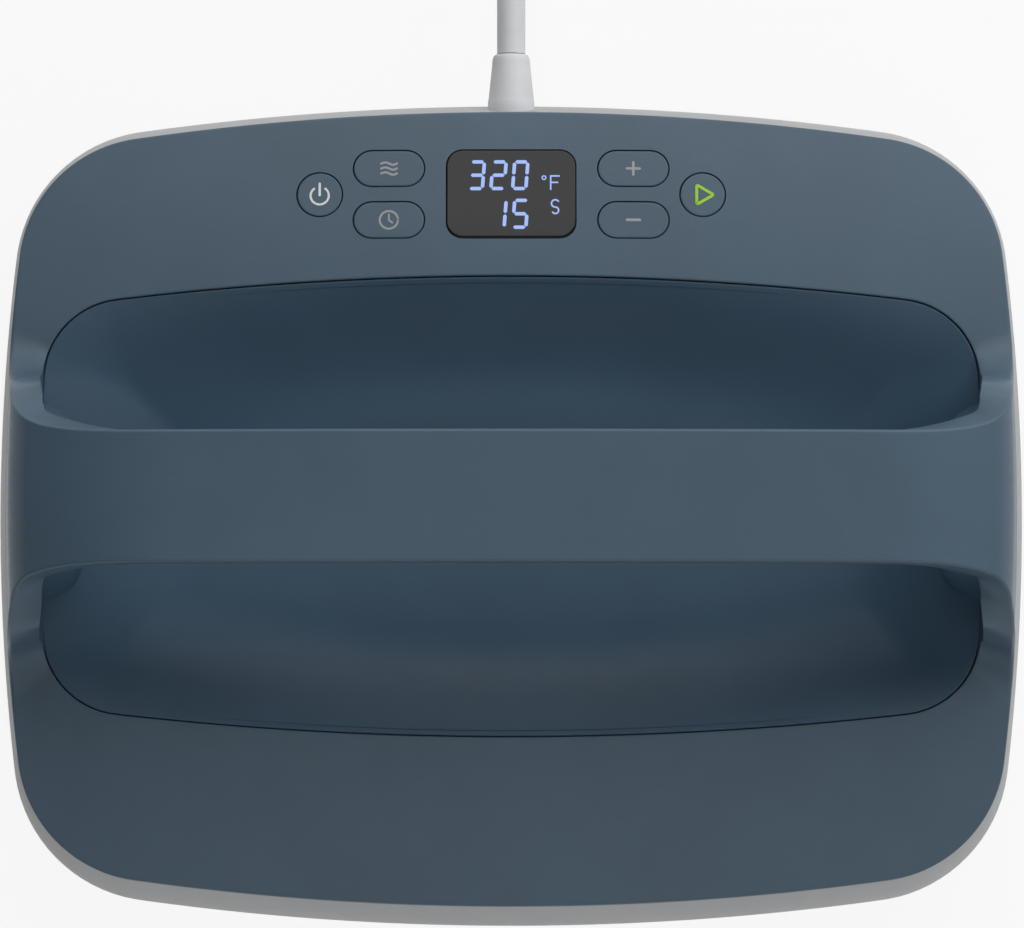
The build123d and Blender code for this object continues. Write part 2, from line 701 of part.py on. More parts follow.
def make_plate_posts():
    return union(
        cylinder(x, y, PLATE_THICKNESS, CHASSIS_BOTTOM, POST_RADIUS)
        - cylinder(x, y, PLATE_THICKNESS - 1, CHASSIS_BOTTOM + 1, SCREW_RADIUS + SCREW_CLEARANCE)
        for x, y in POSTS
    )


def make_plate_seal():
    low = BASE_BOTTOM + BASE_FLOOR
    outer = PLATE.inset(-PLATE_GAP - 2.2)
    ring = outer.prism(low, low + SEAL_THICKNESS) - PLATE.inset(-SHIELD_GAP).prism(0, 20)
    for x, y in BOSSES:
        ring -= cylinder(x, y, 0, 30, COVER_BOSS_RADIUS + 0.3)
    return ring & skirt(WALL + 0.3, BASE_BOTTOM, PARTING_HEIGHT)


def make_chassis():
    edge = skirt_outline(CHASSIS_TOP, WALL + CHASSIS_GAP)
    plate = edge.prism(CHASSIS_BOTTOM, CHASSIS_TOP)
    for x, y in BOSSES:
        plate -= cylinder(x, y, 20, 40, COVER_BOSS_RADIUS + 0.3)
    for x, y in POSTS:
        plate -= cylinder(x, y, 20, 40, SCREW_RADIUS + SCREW_CLEARANCE)
    for x, y in ELEMENT_PINS:
        plate -= cylinder(x, y, 20, 40, 5)
    for x, y in POWER_PILLARS:
        plate += cylinder(x, y, CHASSIS_TOP, POWER_BOARD_Z, 3)
        plate -= cylinder(x, y, CHASSIS_TOP - 2, POWER_BOARD_Z + 1, 1.25)
    for x in (-CLAMP_SCREW_X, CLAMP_SCREW_X):
        plate += cylinder(x, CLAMP_Y, CHASSIS_TOP - 4.9, CHASSIS_TOP, 3.4)
        plate -= cylinder(x, CLAMP_Y, CHASSIS_TOP - 4.4, CHASSIS_TOP + 1, SCREW_RADIUS + 0.05)
    return plate - (CORD_NOTCH & block(0, 0, 20, 400, 400, 20))


# Boards
POWER_BOARD_Z = 33.0
POWER_BOARD_X = 76.0
POWER_BOARD_Y = -101.0
POWER_BOARD_DEPTH = 40.0
POWER_TOP = POWER_BOARD_Z + BOARD_THICKNESS
POWER_PILLARS = [(x, POWER_BOARD_Y + y) for x in (-70, 70) for y in (-15, 15)]
BOARD_PILLARS = [(x, y) for x in (-71, 71) for y in (-12.5, 11)]
CONTROL_HALF_X = 76.0
CLAMP_Y = 122.0
CLAMP_SCREW_X = 9.0
CORD_NOTCH = block(0, BASE_HALF_Y, 20, 2 * BOOT_FLANGE_RADIUS + 1, 26, 30)


def make_power_board():
    board = block(0, POWER_BOARD_Y, POWER_BOARD_Z, 2 * POWER_BOARD_X, POWER_BOARD_DEPTH, BOARD_THICKNESS)
    for x, y in POWER_PILLARS:
        board -= cylinder(x, y, 20, 50, SCREW_RADIUS)
    return board


def make_power_module():
    body = block(-52, POWER_BOARD_Y - 2, POWER_TOP, 26, 24, 14)
    return body.fillet(1.2, body.edges().filter_by(Axis.Z))


def make_relay():
    body = block(-27, POWER_BOARD_Y - 4, POWER_TOP, 15, 19, 15)
    return body.chamfer(0.6, None, body.faces().sort_by(Axis.Z)[-1].edges())


def make_mains_fuse():
    holder = block(-11, POWER_BOARD_Y - 8, POWER_TOP, 8, 22, 5)
    holder -= block(-11, POWER_BOARD_Y - 8, POWER_TOP + 2, 5.4, 19, 6)
    glass = Pos(-11, POWER_BOARD_Y - 8, POWER_TOP + 4.7) * Rot(90, 0, 0) * Cylinder(2.5, 18)
    return holder + glass


def make_filter_capacitor():
    body = block(6, POWER_BOARD_Y - 6, POWER_TOP, 10, 20, 14)
    return body.fillet(0.8, body.edges())


def make_storage_capacitor():
    can = cylinder(22, POWER_BOARD_Y - 4, POWER_TOP, POWER_TOP + 15, 6)
    return can.fillet(0.8, can.edges().sort_by(Axis.Z)[-1:])


def make_triac_heatsink():
    x, y = 50, POWER_BOARD_Y - 2
    sink = block(x, y, POWER_TOP, 32, 3, 15)
    for step in range(7):
        sink += block(x - 15 + 5 * step, y, POWER_TOP + 3, 1.4, 15, 12)
    return sink


def make_triac():
    return block(50, POWER_BOARD_Y + 7.7, POWER_TOP, 10, 1.3, 9) + block(
        50, POWER_BOARD_Y + 8.8, POWER_TOP, 10, 4, 3
    )


def make_terminal_block():
    body = block(-4, POWER_BOARD_Y + 12, POWER_TOP, 22, 9, 10)
    for x in (-11, -4, 3):
        body -= cylinder(x, POWER_BOARD_Y + 12, POWER_TOP + 7, POWER_TOP + 12, 1.8)
    return body


def make_control_board():
    board = panel_bar(Pos(0, -1) * Rectangle(2 * CONTROL_HALF_X, 32), -BOARD_DROP - BOARD_THICKNESS, -BOARD_DROP)
    for x, y in BOARD_PILLARS:
        board -= panel_bar(Pos(x, y) * Circle(1.3), -20, 0)
    return board


def make_display_module():
    body = panel_bar(RectangleRounded(38, 27, 1), -BOARD_DROP, -LENS_THICKNESS - 2.4)
    return body


def make_display_lens():
    body = panel_bar(lens_shape(), -LENS_THICKNESS - 1, 5) & under_deck(KEY_DROP)
    return body - under_deck(LENS_THICKNESS)


def make_buzzer():
    can = panel_bar(Pos(27, 0) * Circle(4.5), -BOARD_DROP, -BOARD_DROP + 4.4)
    return can - panel_bar(Pos(27, 0) * Circle(0.9), -BOARD_DROP + 2, -BOARD_DROP + 5)


SWITCH_TOP = -BOARD_DROP + SWITCH_HEIGHT
PLUNGER_TOP = SWITCH_TOP + 0.9


def make_key_switches():
    bodies = []
    for x, y in KEYS.values():
        body = panel_bar(Pos(x, y) * Rectangle(SWITCH_SIZE, SWITCH_SIZE), -BOARD_DROP, SWITCH_TOP)
        body -= panel_bar(Pos(x, y) * Circle(STEM_RADIUS + 0.3), SWITCH_TOP - 2.2, SWITCH_TOP + 1)
        bodies.append(body)
    return union(bodies)


def make_key(name):
    x, y = KEYS[name]
    cap = panel_bar(key_shape(name), -WALL - 3.5, 5) & under_deck(KEY_DROP)
    flange = panel_bar(key_shape(name, KEY_FLANGE), -9, 5) & under_deck(WALL + 0.3)
    flange -= under_deck(WALL + 1.5)
    cap = (cap - under_deck(WALL + 1.5)) + flange
    return cap + panel_bar(Pos(x, y) * Circle(STEM_RADIUS), PLUNGER_TOP, -WALL)


def make_plunger(name):
    x, y = KEYS[name]
    return panel_bar(Pos(x, y) * Circle(STEM_RADIUS), PLUNGER_TOP - 2.0, PLUNGER_TOP)


# Sensors on the plate


def make_temperature_sensors():
    sensors = []
    for x, y in ((-20, 8), (60, -74)):
        bead = Pos(x, y, PLATE_THICKNESS + 1.6) * Rot(0, 90, 0) * Cylinder(1.4, 12)
        clip = block(x, y, PLATE_THICKNESS, 5, 9, 0.8) + block(x, y, PLATE_THICKNESS, 5, 3.6, 3.4)
        sensors.append(bead + clip)
    return union(sensors)


def make_thermal_fuse():
    body = Pos(20, -8, PLATE_THICKNESS + 1.9) * Rot(0, 90, 0) * Cylinder(1.9, 14)
    clip = block(20, -8, PLATE_THICKNESS, 6, 10, 0.8)
    return body + clip


# Wiring


def make_mains_wires():
    wires = []
    for side in (-4, 0, 4):
        x = side * 1.4 - 4
        route = [
            (side * 0.7, 103.6, CORD_HEIGHT),
            (side * 0.7, 84, 31.5),
            (x, -58, 31.5),
            (x, -70, POWER_TOP + 4),
            (x, POWER_BOARD_Y + 16.5, POWER_TOP + 4),
        ]
        wires.append(tube(route, 1.1, [8, 8, 8]))
    return union(wires)


def make_plate_wires():
    first = tube([(92, -98, 35), (84, -98, 36), (72, -98, 36.2)], 1.2, [6])
    first += cylinder(98, -98, 33, 36.6, 3.4) + block(93, -98, 33.6, 6, 2.4, 2.4)
    second = tube([(84, -2, 34.4), (80, -56, 32), (66, -72, 36.4), (62, -88, 36.2)], 1.2, [12, 8])
    second += cylinder(84, 5, 33, 36.6, 3.4) + block(84, 0, 33.2, 2.4, 6, 2.4)
    return union([first, second])


def make_ribbon_cable():
    x = 27
    low = (PANEL.offset(-BOARD_DROP - BOARD_THICKNESS - 0.6).origin).Z
    route = [(x, 99, low), (x, 99, 32.5), (x, -78.5, 31.2), (x, -78.5, POWER_TOP + 1.4), (x, -88, POWER_TOP + 1.4)]
    path = FilletPolyline(*route, radius=[3, 3, 1.5])
    start = Plane(origin=path @ 0, x_dir=(1, 0, 0), z_dir=path % 0)
    return sweep(start * Rectangle(14, 0.9), path)


# Cord and its fittings


def make_strain_relief():
    room = skirt(WALL + 0.2, BASE_BOTTOM, PARTING_HEIGHT)
    profile = Face(
        Wire(
            [
                Line((0, BOOT_FLANGE_Y, 0), (BOOT_FLANGE_RADIUS, BOOT_FLANGE_Y, 0)),
                Line(
                    (BOOT_FLANGE_RADIUS, BOOT_FLANGE_Y, 0),
                    (BOOT_FLANGE_RADIUS, BOOT_FLANGE_Y + BOOT_FLANGE, 0),
                ),
                Line(
                    (BOOT_FLANGE_RADIUS, BOOT_FLANGE_Y + BOOT_FLANGE, 0),
                    (BOOT_RADIUS, BOOT_FLANGE_Y + BOOT_FLANGE, 0),
                ),
                Line((BOOT_RADIUS, BOOT_FLANGE_Y + BOOT_FLANGE, 0), (BOOT_RADIUS, 137, 0)),
                Line((BOOT_RADIUS, 137, 0), (BOOT_SHOULDER, BOOT_SHOULDER_Y, 0)),
                ThreePointArc(
                    (BOOT_SHOULDER, BOOT_SHOULDER_Y, 0),
                    (BOOT_SHOULDER - 0.4, BOOT_END_Y - 1.1, 0),
                    (CORD_RADIUS + 0.1, BOOT_END_Y, 0),
                ),
                Line((CORD_RADIUS + 0.1, BOOT_END_Y, 0), (0, BOOT_END_Y, 0)),
                Line((0, BOOT_END_Y, 0), (0, BOOT_FLANGE_Y, 0)),
            ]
        )
    )
    boot = Pos(0, 0, CORD_HEIGHT) * revolve(profile, Axis.Y)
    sleeve = Pos(0, BASE_HALF_Y, CORD_HEIGHT) * Rot(90, 0, 0) * Cylinder(BOOT_RADIUS, 40)
    return (boot & room) + (boot & sleeve)


def make_cord_inner_end():
    length = BOOT_FLANGE_Y - 104
    bar = Rot(90, 0, 0) * Cylinder(CORD_RADIUS, length)
    return Pos(0, BOOT_FLANGE_Y - length / 2, CORD_HEIGHT) * bar


def make_cord_clamp():
    height = CORD_HEIGHT + CORD_RADIUS + 1.4 - CHASSIS_TOP
    body = block(0, CLAMP_Y, CHASSIS_TOP, 2 * CLAMP_SCREW_X + 8, 7, height)
    body -= block(0, CLAMP_Y, CHASSIS_TOP, 2 * CLAMP_SCREW_X + 9, 8, 0.02)
    body -= Pos(0, CLAMP_Y, CORD_HEIGHT) * Rot(90, 0, 0) * Cylinder(CORD_RADIUS + 0.15, 10)
    for x in (-CLAMP_SCREW_X, CLAMP_SCREW_X):
        body -= cylinder(x, CLAMP_Y, 20, 60, SCREW_RADIUS + SCREW_CLEARANCE)
    return body


COIL_Z = CORD_RADIUS + COIL_LIFT
COIL_CENTRE_X = COIL_START_RADIUS
CORD_ROUTE = [
    (0, 152, 33.6),
    (0, 180, 33.6),
    (0, 210, 21.4),
    (0, 238, 5.9),
    (0, 266, 5.9),
]
TAIL_ROUTE = [
    (70.6, 330.6, 15.9),
    (95, 330.6, 15.9),
    (122, 323, 13),
    (144, 304, 10.5),
    (155, 278, 10.5),
]


def bend_radii(route):
    """For each corner of a route, 0.45 of its shorter run over the tangent of half the turn."""
    radii = []
    for before, here, after in zip(route, route[1:], route[2:]):
        first = Vector(*here) - Vector(*before)
        second = Vector(*after) - Vector(*here)
        half = radians(first.get_angle(second)) / 2
        radii.append(0.45 * min(first.length, second.length) / tan(half))
    return radii


def cord_tube(route):
    """A stretch of cord along its route."""
    return tube(route, CORD_RADIUS, bend_radii(route))


def coil_stations():
    """The coil's ends of half turns: distance from its middle, side and height."""
    step = COIL_PITCH / 2
    inward = [COIL_START_RADIUS - step * k for k in range(5)]
    outward = [inward[-1] + step * k for k in range(4)]
    stations = [(d, COIL_Z) for d in inward] + [(d, COIL_Z + COIL_LAYER) for d in outward]
    return [(d, (-1) ** (k + 1), z) for k, (d, z) in enumerate(stations)]


def coil_arcs():
    """Half turns, clockwise from above, and a last quarter turn that ends along +X."""
    stations = coil_stations()
    arcs = []
    for k, (near, far) in enumerate(zip(stations, stations[1:])):
        start = Vector(COIL_CENTRE_X + near[1] * near[0], COIL_CENTRE_Y, near[2])
        finish = Vector(COIL_CENTRE_X + far[1] * far[0], COIL_CENTRE_Y, far[2])
        radius = (finish - start).length / 2
        side = 1 if k % 2 == 0 else -1
        middle = (start + finish) / 2 + Vector(0, side * radius, 0)
        arcs.append(ThreePointArc(start, middle, finish))
    d, side, z = stations[-1]
    start = Vector(COIL_CENTRE_X + side * d, COIL_CENTRE_Y, z)
    radius = d + COIL_PITCH / 4
    centre = start - Vector(side * radius, 0, 0)
    reach = radius / sqrt(2)
    turn = ThreePointArc(start, centre + Vector(side * reach, reach, 0), centre + Vector(0, radius, 0))
    return arcs + [turn]


def make_cord_coil():
    path = Wire(coil_arcs())
    start = Plane(origin=path @ 0, z_dir=path % 0)
    return sweep(start * Circle(CORD_RADIUS), path)


def coil_gap():
    """The least gap between the coil's turns, from points along it."""
    points = []
    for arc in coil_arcs():
        points += [arc @ (i / 60) for i in range(60)]
    least = TALL
    for i, p in enumerate(points):
        for q in points[i + 40 :]:
            least = min(least, (p - q).length)
    return least - 2 * CORD_RADIUS


def make_coil_tie():
    inner = COIL_START_RADIUS - 2 * COIL_PITCH - CORD_RADIUS - 1.2
    outer = COIL_START_RADIUS - COIL_PITCH / 2 + CORD_RADIUS + 0.8
    top = COIL_Z + COIL_LAYER + CORD_RADIUS + 0.5
    x = COIL_CENTRE_X + (inner + outer) / 2
    band = block(x, COIL_CENTRE_Y, 0, outer - inner + 2.2, 14, top + 1.0)
    hole = block(x, COIL_CENTRE_Y, 1.0, outer - inner, 16, top - 1.0)
    return band - hole


PLUG_LENGTH = 36.0
PLUG_WIDTH = 25.0
PLUG_HEIGHT = 21.0
PIN_GAP = 6.35


def plug_frame():
    """The plug's own frame, in line with the end of the cord."""
    last = Vector(*TAIL_ROUTE[-1])
    along = (last - Vector(*TAIL_ROUTE[-2])).normalized()
    along = Vector(along.X, along.Y, 0).normalized()
    return Plane(origin=last, x_dir=along.cross(Vector(0, 0, 1)), z_dir=along)


def make_plug_body():
    frame = plug_frame()
    neck = loft([frame * Circle(6.2), frame.offset(12) * Circle(8.2)])
    head = extrude(frame.offset(12) * RectangleRounded(PLUG_WIDTH, PLUG_HEIGHT, 6), PLUG_LENGTH - 12)
    face = head.faces().sort_by(lambda f: -(f.center() - frame.origin).length)[0]
    return neck + head.fillet(1.5, face.edges())


def make_plug_blades():
    frame = plug_frame().offset(PLUG_LENGTH)
    blades = []
    for x in (-PIN_GAP, PIN_GAP):
        blades.append(extrude(frame * Pos(x, 2.5) * Rectangle(1.5, 6.4), 17.5))
    ground = extrude(frame * Pos(0, -6) * Circle(2.4), 20)
    return union(blades + [ground])


# Screws


def make_cover_screws():
    return union(screw(x, y, COVER_SCREW_HEIGHT, 18) for x, y in BOSSES)


def make_plate_screws():
    return union(screw(x, y, CHASSIS_TOP, 23, upward=False) for x, y in POSTS)


def make_handle_screws():
    shoulder = HANDLE_TOP - HANDLE_THICKNESS + 6
    return union(screw(x, HANDLE_CENTRE_Y, shoulder, 11) for x in HANDLE_SCREWS)


def make_power_board_screws():
    bars = []
    for x, y in POWER_PILLARS:
        bars.append(cylinder(x, y, POWER_TOP, POWER_TOP + 1.6, 2.6) + cylinder(x, y, POWER_TOP - 6, POWER_TOP, 1.2))
    return union(bars)


def make_control_board_screws():
    low = -BOARD_DROP - BOARD_THICKNESS
    bars = []
    for x, y in BOARD_PILLARS:
        head = panel_bar(Pos(x, y) * Circle(2.4), low - 1.5, low)
        bars.append(head + panel_bar(Pos(x, y) * Circle(1.15), low, low + 7))
    return union(bars)


def make_clamp_screws():
    top = CORD_HEIGHT + CORD_RADIUS + 1.4
    return union(
        screw(x, CLAMP_Y, top, top - CHASSIS_TOP + 4, upward=False)
        for x in (-CLAMP_SCREW_X, CLAMP_SCREW_X)
    )


PIECES = {
    "base_housing": make_base_housing,
    "top_cover": make_top_cover,
    "handle_underside": make_handle_underside,
    "recess_liner": make_recess_liner,
    "heat_plate": make_heat_plate,
    "heating_element": make_heating_element,
    "insulation_blanket": make_insulation_blanket,
    "heat_shield": make_heat_shield,
    "plate_posts": make_plate_posts,
    "plate_seal": make_plate_seal,
    "chassis": make_chassis,
    "power_board": make_power_board,
    "power_module": make_power_module,
    "relay": make_relay,
    "mains_fuse": make_mains_fuse,
    "filter_capacitor": make_filter_capacitor,
    "storage_capacitor": make_storage_capacitor,
    "triac_heatsink": make_triac_heatsink,
    "triac": make_triac,
    "terminal_block": make_terminal_block,
    "control_board": make_control_board,
    "display_module": make_display_module,
    "display_lens": make_display_lens,
    "buzzer": make_buzzer,
    "key_switches": make_key_switches,
    "temperature_sensors": make_temperature_sensors,
    "thermal_fuse": make_thermal_fuse,
    "mains_wires": make_mains_wires,
    "plate_wires": make_plate_wires,
    "ribbon_cable": make_ribbon_cable,
    "strain_relief": make_strain_relief,
    "cord_inner_end": make_cord_inner_end,
    "cord_clamp": make_cord_clamp,
    "cord_lead": lambda: cord_tube(CORD_ROUTE),
    "cord_coil": make_cord_coil,
    "cord_tail": lambda: cord_tube(TAIL_ROUTE),
    "coil_tie": make_coil_tie,
    "plug_body": make_plug_body,
    "plug_blades": make_plug_blades,
    "cover_screws": make_cover_screws,
    "plate_screws": make_plate_screws,
    "handle_screws": make_handle_screws,
    "power_board_screws": make_power_board_screws,
    "control_board_screws": make_control_board_screws,
    "clamp_screws": make_clamp_screws,
}
for key in KEYS:
    PIECES[f"{key}_button"] = lambda key=key: make_key(key)
    PIECES[f"{key}_plunger"] = lambda key=key: make_plunger(key)


def cord_length():
    """The length of the cord outside the housing, to the plug."""
    stretches = [FilletPolyline(*r, radius=bend_radii(r)) for r in (CORD_ROUTE, TAIL_ROUTE)]
    return sum(s.length for s in stretches) + Wire(coil_arcs()).length


def main():
    os.makedirs("parts", exist_ok=True)
    for name, make in PIECES.items():
        shape = make()
        export_step(shape, f"parts/{name}.step")
        print(name, "solids", len(shape.solids()), "volume", round(shape.volume))
    for name, route in (("cord_lead", CORD_ROUTE), ("cord_tail", TAIL_ROUTE)):
        print(name, "bend radii", [round(r, 1) for r in bend_radii(route)])
    print("coil gap", round(coil_gap(), 2), "cord length", round(cord_length()))


if __name__ == "__main__":
    main()
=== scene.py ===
"""Dresses the handheld heat press: its moulded skins, keys, display, cord, finishes and studio."""

from __future__ import annotations

import json
import logging
from dataclasses import dataclass
from enum import Enum
from functools import cached_property, lru_cache
from math import atan2, cos, exp, hypot, log, pi, radians, sin, sqrt, tan
from typing import Callable, Iterable, Optional, Sequence, Union

import bmesh
import bpy
from mathutils import Matrix, Vector
from mathutils.geometry import delaunay_2d_cdt

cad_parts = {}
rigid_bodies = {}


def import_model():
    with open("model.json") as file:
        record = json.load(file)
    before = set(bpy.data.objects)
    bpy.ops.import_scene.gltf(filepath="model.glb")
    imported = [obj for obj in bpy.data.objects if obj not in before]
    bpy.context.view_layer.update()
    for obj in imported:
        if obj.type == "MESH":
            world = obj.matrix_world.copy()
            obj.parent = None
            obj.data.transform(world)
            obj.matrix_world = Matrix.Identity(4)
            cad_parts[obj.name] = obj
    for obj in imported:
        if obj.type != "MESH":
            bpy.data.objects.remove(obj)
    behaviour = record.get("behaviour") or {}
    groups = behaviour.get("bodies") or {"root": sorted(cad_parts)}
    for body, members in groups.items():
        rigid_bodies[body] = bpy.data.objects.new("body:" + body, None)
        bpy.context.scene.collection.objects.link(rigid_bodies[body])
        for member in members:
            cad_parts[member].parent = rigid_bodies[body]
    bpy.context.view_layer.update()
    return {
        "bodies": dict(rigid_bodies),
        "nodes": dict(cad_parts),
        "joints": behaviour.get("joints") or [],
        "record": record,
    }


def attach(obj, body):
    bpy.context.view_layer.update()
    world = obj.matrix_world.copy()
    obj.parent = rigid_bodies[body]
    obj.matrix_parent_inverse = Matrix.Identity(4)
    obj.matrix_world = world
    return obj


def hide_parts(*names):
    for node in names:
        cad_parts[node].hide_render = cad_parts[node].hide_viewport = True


LOG = logging.getLogger("heat_press")
MM = 0.001
WELD = 0.0005
Point = tuple[float, float, float]
Flat = tuple[float, float]
Row = list[Point]


def lerp(a: float, b: float, share: float) -> float:
    """The number that lies this share of the way from a to b."""
    return a + (b - a) * share


def mix(a: Sequence[float], b: Sequence[float], share: float) -> tuple[float, ...]:
    """The point that lies this share of the way from a to b."""
    return tuple(lerp(p, q, share) for p, q in zip(a, b))


def smoothstep(value: float) -> float:
    """Eases from 0 to 1 while value goes from 0 to 1."""
    share = min(1.0, max(0.0, value))
    return share * share * (3 - 2 * share)


def shares(count: int) -> list[float]:
    """Evenly spaced shares from 0 to 1, both ends included."""
    return [i / count for i in range(count + 1)]


def transposed(rows: Sequence[Sequence[Point]]) -> list[Row]:
    """The same points with rows and columns changed over."""
    return [list(column) for column in zip(*rows)]


def unit_circle(count: int) -> list[Flat]:
    """Points evenly round a circle whose radius is 1."""
    return [(cos(2 * pi * i / count), sin(2 * pi * i / count)) for i in range(count)]


def quarter_round(radius: float, steps: int) -> list[Flat]:
    """How far in and how far down the points of a rounded edge lie, from its side to its top."""
    turns = [pi / 2 * s for s in shares(steps)]
    return [(radius * (1 - cos(a)), radius * (1 - sin(a))) for a in turns]


def soft_rectangle(half_x: float, half_y: float, corner: float, steps: int) -> list[tuple[float, ...]]:
    """Points round a rectangle with rounded corners, each with its outward direction."""
    loop = []
    for sx, sy, start in ((1, -1, -pi / 2), (1, 1, 0.0), (-1, 1, pi / 2), (-1, -1, pi)):
        for s in shares(steps):
            nx, ny = cos(start + pi / 2 * s), sin(start + pi / 2 * s)
            x, y = sx * (half_x - corner) + corner * nx, sy * (half_y - corner) + corner * ny
            loop.append((x, y, nx, ny))
    return loop


# Plan shapes


@dataclass(frozen=True)
class PlanShape:
    """A rounded plan outline of side arcs, end arcs and corner arcs that run into each other."""

    half_x: float
    half_y: float
    corner: float
    side: float = 723.0
    end: float = 891.0

    @cached_property
    def centre(self) -> Flat:
        """The centre of the corner arc in the first quarter."""
        side_centre = self.half_x - self.side
        end_centre = self.half_y - self.end
        to_side = self.side - self.corner
        to_end = self.end - self.corner
        apart = hypot(side_centre, end_centre)
        along = (to_side**2 - to_end**2 + apart**2) / (2 * apart)
        across = sqrt(to_side**2 - along**2)
        ux = -side_centre / apart
        uy = end_centre / apart
        return (side_centre + along * ux - across * uy, along * uy + across * ux)

    @cached_property
    def corner_angles(self) -> Flat:
        """The angles at which the corner arc leaves the side arc and meets the end arc."""
        cx, cy = self.centre
        low = atan2(cy, cx - (self.half_x - self.side))
        high = atan2(cy - (self.half_y - self.end), cx)
        return (low, high)

    def inset(self, distance: float) -> PlanShape:
        """The parallel outline that lies this far inside."""
        return PlanShape(
            self.half_x - distance,
            self.half_y - distance,
            self.corner - distance,
            self.side - distance,
            self.end - distance,
        )

    def on_corner(self, angle: float) -> Flat:
        """The point of the corner arc at an angle."""
        cx, cy = self.centre
        return (cx + self.corner * cos(angle), cy + self.corner * sin(angle))

    def x_at(self, y: float) -> float:
        """Half the width at this y."""
        y = abs(y)
        cx, cy = self.centre
        if y <= self.on_corner(self.corner_angles[0])[1]:
            return self.half_x - self.side + sqrt(self.side**2 - y**2)
        return cx + sqrt(max(0.0, self.corner**2 - (y - cy) ** 2))

    def trace(self, start_y: float) -> tuple[list[Flat], list[Flat]]:
        """Two runs of close points along the first quarter.

        Args:
            start_y: where on the side the first run starts.

        Returns:
            The run to the middle of the corner, and the run from there to the middle of the end.
        """
        low, high = self.corner_angles
        middle = (low + high) / 2
        side_y = self.on_corner(low)[1]
        first: list[Flat] = []
        if start_y < side_y:
            first = [(self.x_at(y), y) for y in (lerp(start_y, side_y, s) for s in shares(120))]
            start_angle = low
        else:
            start_angle = atan2(start_y - self.centre[1], self.x_at(start_y) - self.centre[0])
        first += [self.on_corner(lerp(start_angle, middle, s)) for s in shares(120)]
        second = [self.on_corner(lerp(middle, high, s)) for s in shares(120)]
        end_x = second[-1][0]
        end_centre = self.half_y - self.end
        for s in shares(240)[1:]:
            x = lerp(end_x, 0.0, s)
            second.append((x, end_centre + sqrt(self.end**2 - x**2)))
        return first, second

    def ring(self, count: int) -> list[Flat]:
        """Points all round the outline, with four times count of them."""
        first, second = self.trace(0.0)
        quarter = resample(first + second[1:], count)
        left = [(-x, y) for x, y in quarter[::-1]][1:]
        top = quarter + left
        bottom = [(x, -y) for x, y in top[::-1]][1:-1]
        return top + bottom

    def depth(self, x: float, y: float) -> float:
        """How far a point lies inside the outline, negative outside it."""
        x, y = abs(x), abs(y)
        cx, cy = self.centre
        angle = atan2(y - cy, x - cx)
        low, high = self.corner_angles
        if low <= angle <= high:
            return self.corner - hypot(x - cx, y - cy)
        return min(
            self.side - hypot(x - (self.half_x - self.side), y),
            self.end - hypot(x, y - (self.half_y - self.end)),
        )


def resample(points: Sequence[Sequence[float]], count: int) -> list[tuple[float, ...]]:
    """The same line with count equal steps."""
    lengths = [0.0]
    for a, b in zip(points, points[1:]):
        lengths.append(lengths[-1] + sqrt(sum((p - q) ** 2 for p, q in zip(a, b))))
    result = []
    at = 0
    for i in range(count + 1):
        goal = lengths[-1] * i / count
        while at < len(points) - 2 and lengths[at + 1] < goal:
            at += 1
        span = lengths[at + 1] - lengths[at]
        share = (goal - lengths[at]) / span if span > 0 else 0.0
        result.append(mix(points[at], points[at + 1], min(1.0, max(0.0, share))))
    return result


BASE = PlanShape(169.9, 136.5, 48.6)
COVER = PlanShape(166.6, 130.9, 44.0)
PLATE = PlanShape(152.4, 127.0, 34.0)
RECESS = PlanShape(155.0, 75.8, 27.0, 700.0, 1120.0)


@dataclass(frozen=True)
class Deck:
    """The barrel that the top cover's decks follow."""

    peak: float = 66.0
    radius_x: float = 1800.0
    radius_y: float = 560.0

    def height(self, x: float, y: float, drop: float = 0.0) -> float:
        """The height of the surface, or of the parallel one that lies lower."""
        across = self.radius_y - drop
        fall = across - sqrt(across**2 - y**2)
        reach = self.radius_x - drop - fall
        return self.peak - self.radius_x + sqrt(reach**2 - x**2)


DECK = Deck()


